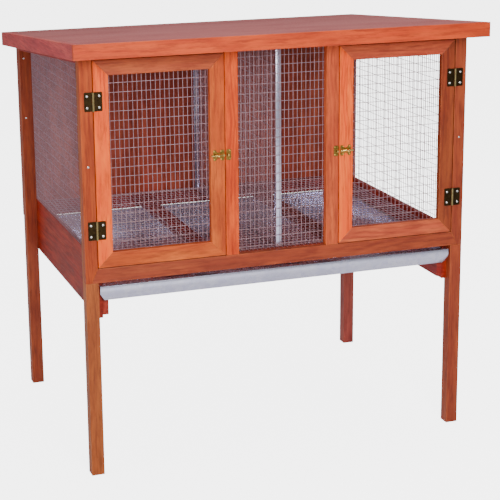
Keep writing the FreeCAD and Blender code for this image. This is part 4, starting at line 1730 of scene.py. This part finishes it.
@dataclass
class ScrewHeads:
    """Domed heads with a cross recess, at every seat."""

    recess_depth: float = 0.45
    small_below: float = 2.6 * MM
    facets: int = 20
    seed: int = 11

    def build(self) -> None:
        """Make the heads of each CAD group of screws."""
        groups = ("hardware_screws", "frame_screws", "door_left_screws", "door_right_screws")
        for number, node in enumerate(groups):
            sizes: dict[tuple[float, float], list[Vector]] = {}
            for seat, radius, dome in self._seats(node):
                sizes.setdefault((radius, dome), []).append(seat)
            whole = bmesh.new()
            for (radius, dome), seats in sorted(sizes.items()):
                copies = scatter(self._head(radius, dome), seats, SCREW_METAL, self.seed + number)
                known = len(whole.faces)
                whole.from_mesh(copies)
                whole.faces.ensure_lookup_table()
                for face in whole.faces[known:]:
                    face.material_index = int(radius < self.small_below)
            materials = [SCREW_METAL.material(), BRASS_SCREW.material()]
            made = to_mesh(whole, node + "_heads", materials, SMALL_SMOOTH)
            settle(made, node + "_heads", Slot.SCREW, node)

    @staticmethod
    def _seats(node: str) -> list[tuple[Vector, float, float]]:
        """Where each screw of a CAD node sits, with the radius and height of its head.

        Args:
            node: The CAD node.

        Returns:
            One row for each screw.
        """
        shape = bmesh.new()
        shape.from_mesh(frame["nodes"][node].data)
        bmesh.ops.remove_doubles(shape, verts=shape.verts, dist=SAME_CORNER)
        rows = []
        for members in islands(shape):
            xs, ys, zs = ([v.co[i] for v in members] for i in range(3))
            centre_x, centre_z = (min(xs) + max(xs)) / 2, (min(zs) + max(zs)) / 2
            radius = round((max(xs) - min(xs)) / 2, 4)
            rim = [v.co.y for v in members
                   if math.hypot(v.co.x - centre_x, v.co.z - centre_z) > 0.97 * radius]
            seat_y = max(rim)
            rows.append((Vector((centre_x, seat_y, centre_z)), radius, round(seat_y - min(ys), 4)))
        shape.free()
        return rows

    def _head(self, radius: float, dome: float) -> bmesh.types.BMesh:
        """One head with a cross recess, its seat at the origin and its crown towards -Y.

        Args:
            radius: The head's radius.
            dome: Its height.

        Returns:
            A new edit mesh.
        """
        shape, around = bmesh.new(), self.facets
        rings = []
        for share, rise in ((1.0, 0.0), (1.0, 0.22), (0.93, 0.5), (0.76, 0.82), (0.56, 0.96)):
            circle = [math.tau * i / around for i in range(around)]
            rings.append([shape.verts.new((radius * share * math.cos(a), -dome * rise,
                                           radius * share * math.sin(a))) for a in circle])
        skin(shape, rings, cap_last=False)
        top_y = -dome
        arm, half = 0.44 * radius, 0.13 * radius
        cross = [(arm, -half), (arm, half), (half, half), (half, arm), (-half, arm), (-half, half),
                 (-arm, half), (-arm, -half), (-half, -half), (-half, -arm), (half, -arm), (half, -half)]
        lip = [shape.verts.new((cx, top_y, cz)) for cx, cz in cross]
        sides = len(cross)
        lip_edges = [shape.edges.new((lip[i], lip[(i + 1) % sides])) for i in range(sides)]
        rim_edges = [shape.edges.get((rings[-1][i], rings[-1][(i + 1) % around])) for i in range(around)]
        bmesh.ops.bridge_loops(shape, edges=lip_edges + rim_edges)
        floor_y = top_y + self.recess_depth * dome
        floor = [shape.verts.new((0.8 * cx, floor_y, 0.8 * cz)) for cx, cz in cross]
        for i in range(sides):
            j = (i + 1) % sides
            shape.faces.new((lip[i], lip[j], floor[j], floor[i]))
        shape.faces.new(floor)
        bmesh.ops.recalc_face_normals(shape, faces=shape.faces)
        return shape


@dataclass
class Staples:
    """Wire staples that hold the mesh panels to the backs of the timbers."""

    crown: float = 8.0 * MM
    gauge: float = 1.1 * MM
    spacing: float = 0.1
    margin: float = 5.0 * MM
    end_clear: float = 20.0 * MM
    bend: float = 1.6 * MM
    leg: float = 1.5 * MM
    skew: float = 0.3
    smooth_below: float = 50.0
    seed: int = 5

    def build(self) -> None:
        """Staple both doors and the fixed centre panel."""
        for node, member in (("door_left_mesh", "door_left_top_rail"),
                             ("door_right_mesh", "door_right_top_rail"), ("centre_mesh", "mullion_left")):
            low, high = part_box(node)
            timber_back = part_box(member)[1].y
            self._panel(node, low, high, timber_back)

    def _panel(self, node: str, low: Vector, high: Vector, back: float) -> None:
        """Staple one upright panel round its edge.

        Args:
            node: The panel's CAD node, whose body the staples ride on.
            low: Its lowest corner.
            high: Its highest corner.
            back: Y of the timber's back face.
        """
        m = self.margin
        along_x = self._spread(low.x + self.end_clear, high.x - self.end_clear)
        along_z = self._spread(low.z + self.end_clear, high.z - self.end_clear)
        rails = [Vector((x, back, z)) for x in along_x for z in (low.z + m, high.z - m)]
        stiles = [Vector((x, back, z)) for z in along_z for x in (low.x + m, high.x - m)]
        depth = high.y - back + self.gauge
        meshes = [scatter(self._staple(depth), spots, SCREW_METAL, self.seed, turn, self.skew)
                  for spots, turn in ((rails, 0.0), (stiles, math.pi / 2))]
        whole = bmesh.new()
        for mesh in meshes:
            whole.from_mesh(mesh)
        name = node + "_staples"
        mesh = to_mesh(whole, name, [SCREW_METAL.material()], self.smooth_below)
        piece = bpy.data.objects.new(name, mesh)
        bpy.context.scene.collection.objects.link(piece)
        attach(piece, body_of(node))
        LOG.info("%s: %d staples on %s", name, len(rails) + len(stiles), body_of(node))

    def _spread(self, start: float, end: float) -> list[float]:
        """Even places along a run, about one spacing apart."""
        gaps = max(1, round((end - start) / self.spacing))
        return [start + (end - start) * i / gaps for i in range(gaps + 1)]

    def _staple(self, depth: float) -> bmesh.types.BMesh:
        """One staple whose legs enter the wood at the origin and whose crown stands off in +Y.

        Args:
            depth: How far the crown stands off.

        Returns:
            A new edit mesh.
        """
        half, r, bend = self.crown / 2, self.gauge / 2, self.bend
        side = arc((half - bend, depth - bend), bend, 0, 90, 4)
        other_side = [(-x, y) for x, y in reversed(side)]
        path = [(half, -self.leg), *side, *other_side, (-half, -self.leg)]
        shape, rings = bmesh.new(), []
        for i, (px, py) in enumerate(path):
            ahead = Vector(path[min(i + 1, len(path) - 1)]) - Vector(path[max(i - 1, 0)])
            out = Vector((ahead.y, -ahead.x)).normalized()
            rings.append([shape.verts.new((px + out.x * r * c, py + out.y * r * c, r * s))
                          for c, s in arc((0.0, 0.0), 1.0, 0, 300, 5)])
        skin(shape, rings)
        bmesh.ops.recalc_face_normals(shape, faces=shape.faces)
        return shape


# ---------------------------------------------------------------- studio


@dataclass(frozen=True)
class Lamp:
    """A square soft light, with its side in metres and its power in watts."""

    name: str
    at: Triple
    size: float
    power: float
    colour: Colour


@dataclass
class Studio:
    """A plain pale floor, soft lights and the camera."""

    lamps: tuple[Lamp, ...] = (
        Lamp("key", (-0.5, -3.7, 2.3), 1.5, 120.0, (1.0, 0.98, 0.95)),
        Lamp("side", (-3.8, -1.2, 1.6), 2.0, 50.0, (0.84, 0.9, 1.0)),
        Lamp("top", (0.6, 0.6, 4.2), 3.0, 100.0, (0.96, 0.98, 1.0)))
    sky_light: float = 0.26
    floor_half: float = 40.0
    floor_glow: float = 4.4
    camera_at: Triple = (-1.481, -4.247, 1.753)
    yaw: float = 0.3463
    pitch: float = -0.2418
    roll: float = -0.0069
    lens: float = 110.1
    shift_y: float = -0.1
    sensor: float = 36.0

    def build(self) -> None:
        """Make the floor, the sky, the lights and the camera."""
        self._floor()
        self._sky()
        for lamp in self.lamps:
            self._light(lamp)
        self._camera()

    def _floor(self) -> None:
        """A wide level floor with a pale, slightly glowing finish."""
        half = self.floor_half
        mesh = bpy.data.meshes.new("studio_floor")
        mesh.from_pydata([(-half, -half, 0), (half, -half, 0), (half, half, 0), (-half, half, 0)], [],
                         [(0, 1, 2, 3)])
        made = bpy.data.materials.new("studio_floor")
        made.use_nodes = True
        shader = made.node_tree.nodes["Principled BSDF"]
        shader.inputs["Base Color"].default_value = (0.86, 0.86, 0.86, 1.0)
        shader.inputs["Roughness"].default_value = 0.9
        shader.inputs["Specular IOR Level"].default_value = 0.1
        graph = Graph(made.node_tree)
        seen = graph.add("ShaderNodeLightPath").outputs["Is Camera Ray"]
        graph.put(shader.inputs["Emission Color"], (1.0, 1.0, 1.0))
        graph.put(shader.inputs["Emission Strength"], graph.math("MULTIPLY", seen, self.floor_glow))
        mesh.materials.append(made)
        floor = bpy.data.objects.new("studio_floor", mesh)
        bpy.context.scene.collection.objects.link(floor)

    def _sky(self) -> None:
        """An even white surround, brighter to the camera than to the object."""
        world = bpy.data.worlds.new("studio")
        world.use_nodes = True
        graph = Graph(world.node_tree)
        back = world.node_tree.nodes["Background"]
        seen = graph.add("ShaderNodeLightPath").outputs["Is Camera Ray"]
        level = graph.remap(seen, 0.0, 1.0, (self.sky_light, self.sky_light + self.floor_glow))
        graph.put(back.inputs["Color"], (1.0, 1.0, 1.0))
        graph.put(back.inputs["Strength"], level)
        bpy.context.scene.world = world

    @staticmethod
    def _light(lamp: Lamp) -> None:
        """Hang one light, turned to the middle of the hutch.

        Args:
            lamp: The light.
        """
        data = bpy.data.lights.new(lamp.name, "AREA")
        data.shape, data.size, data.energy, data.color = "SQUARE", lamp.size, lamp.power, lamp.colour
        holder = bpy.data.objects.new(lamp.name, data)
        holder.location = lamp.at
        centre = (CAD_BOX[0] + CAD_BOX[1]) / 2
        holder.rotation_euler = (centre - Vector(lamp.at)).to_track_quat("-Z", "Y").to_euler()
        bpy.context.scene.collection.objects.link(holder)

    def _camera(self) -> None:
        """The camera, in front of the left corner and a little above the roof."""
        ahead = Vector((math.sin(self.yaw) * math.cos(self.pitch),
                        math.cos(self.yaw) * math.cos(self.pitch), math.sin(self.pitch)))
        level = Vector((math.cos(self.yaw), -math.sin(self.yaw), 0.0))
        up = level.cross(ahead)
        right = math.cos(self.roll) * level + math.sin(self.roll) * up
        top = -math.sin(self.roll) * level + math.cos(self.roll) * up
        data = bpy.data.cameras.new("camera")
        data.lens, data.sensor_width, data.shift_y = self.lens, self.sensor, self.shift_y
        camera = bpy.data.objects.new("camera", data)
        turn = Matrix((right, top, -ahead)).transposed().to_4x4()
        camera.matrix_world = Matrix.Translation(Vector(self.camera_at)) @ turn
        bpy.context.scene.collection.objects.link(camera)
        bpy.context.scene.camera = camera


def main() -> None:
    """Build the hutch's looks in order."""
    logging.basicConfig(level=logging.INFO, format="%(name)s %(message)s")
    Studio().build()
    Joinery().build()
    FeltSkin().build()
    for panel in mesh_panels():
        panel.build()
    SheetWork().build()
    ButtHinges().build()
    for side in SIDES:
        BarrelBolt(side).build()
    ScrewHeads().build()
    Staples().build()


if __name__ == "__main__":
    main()
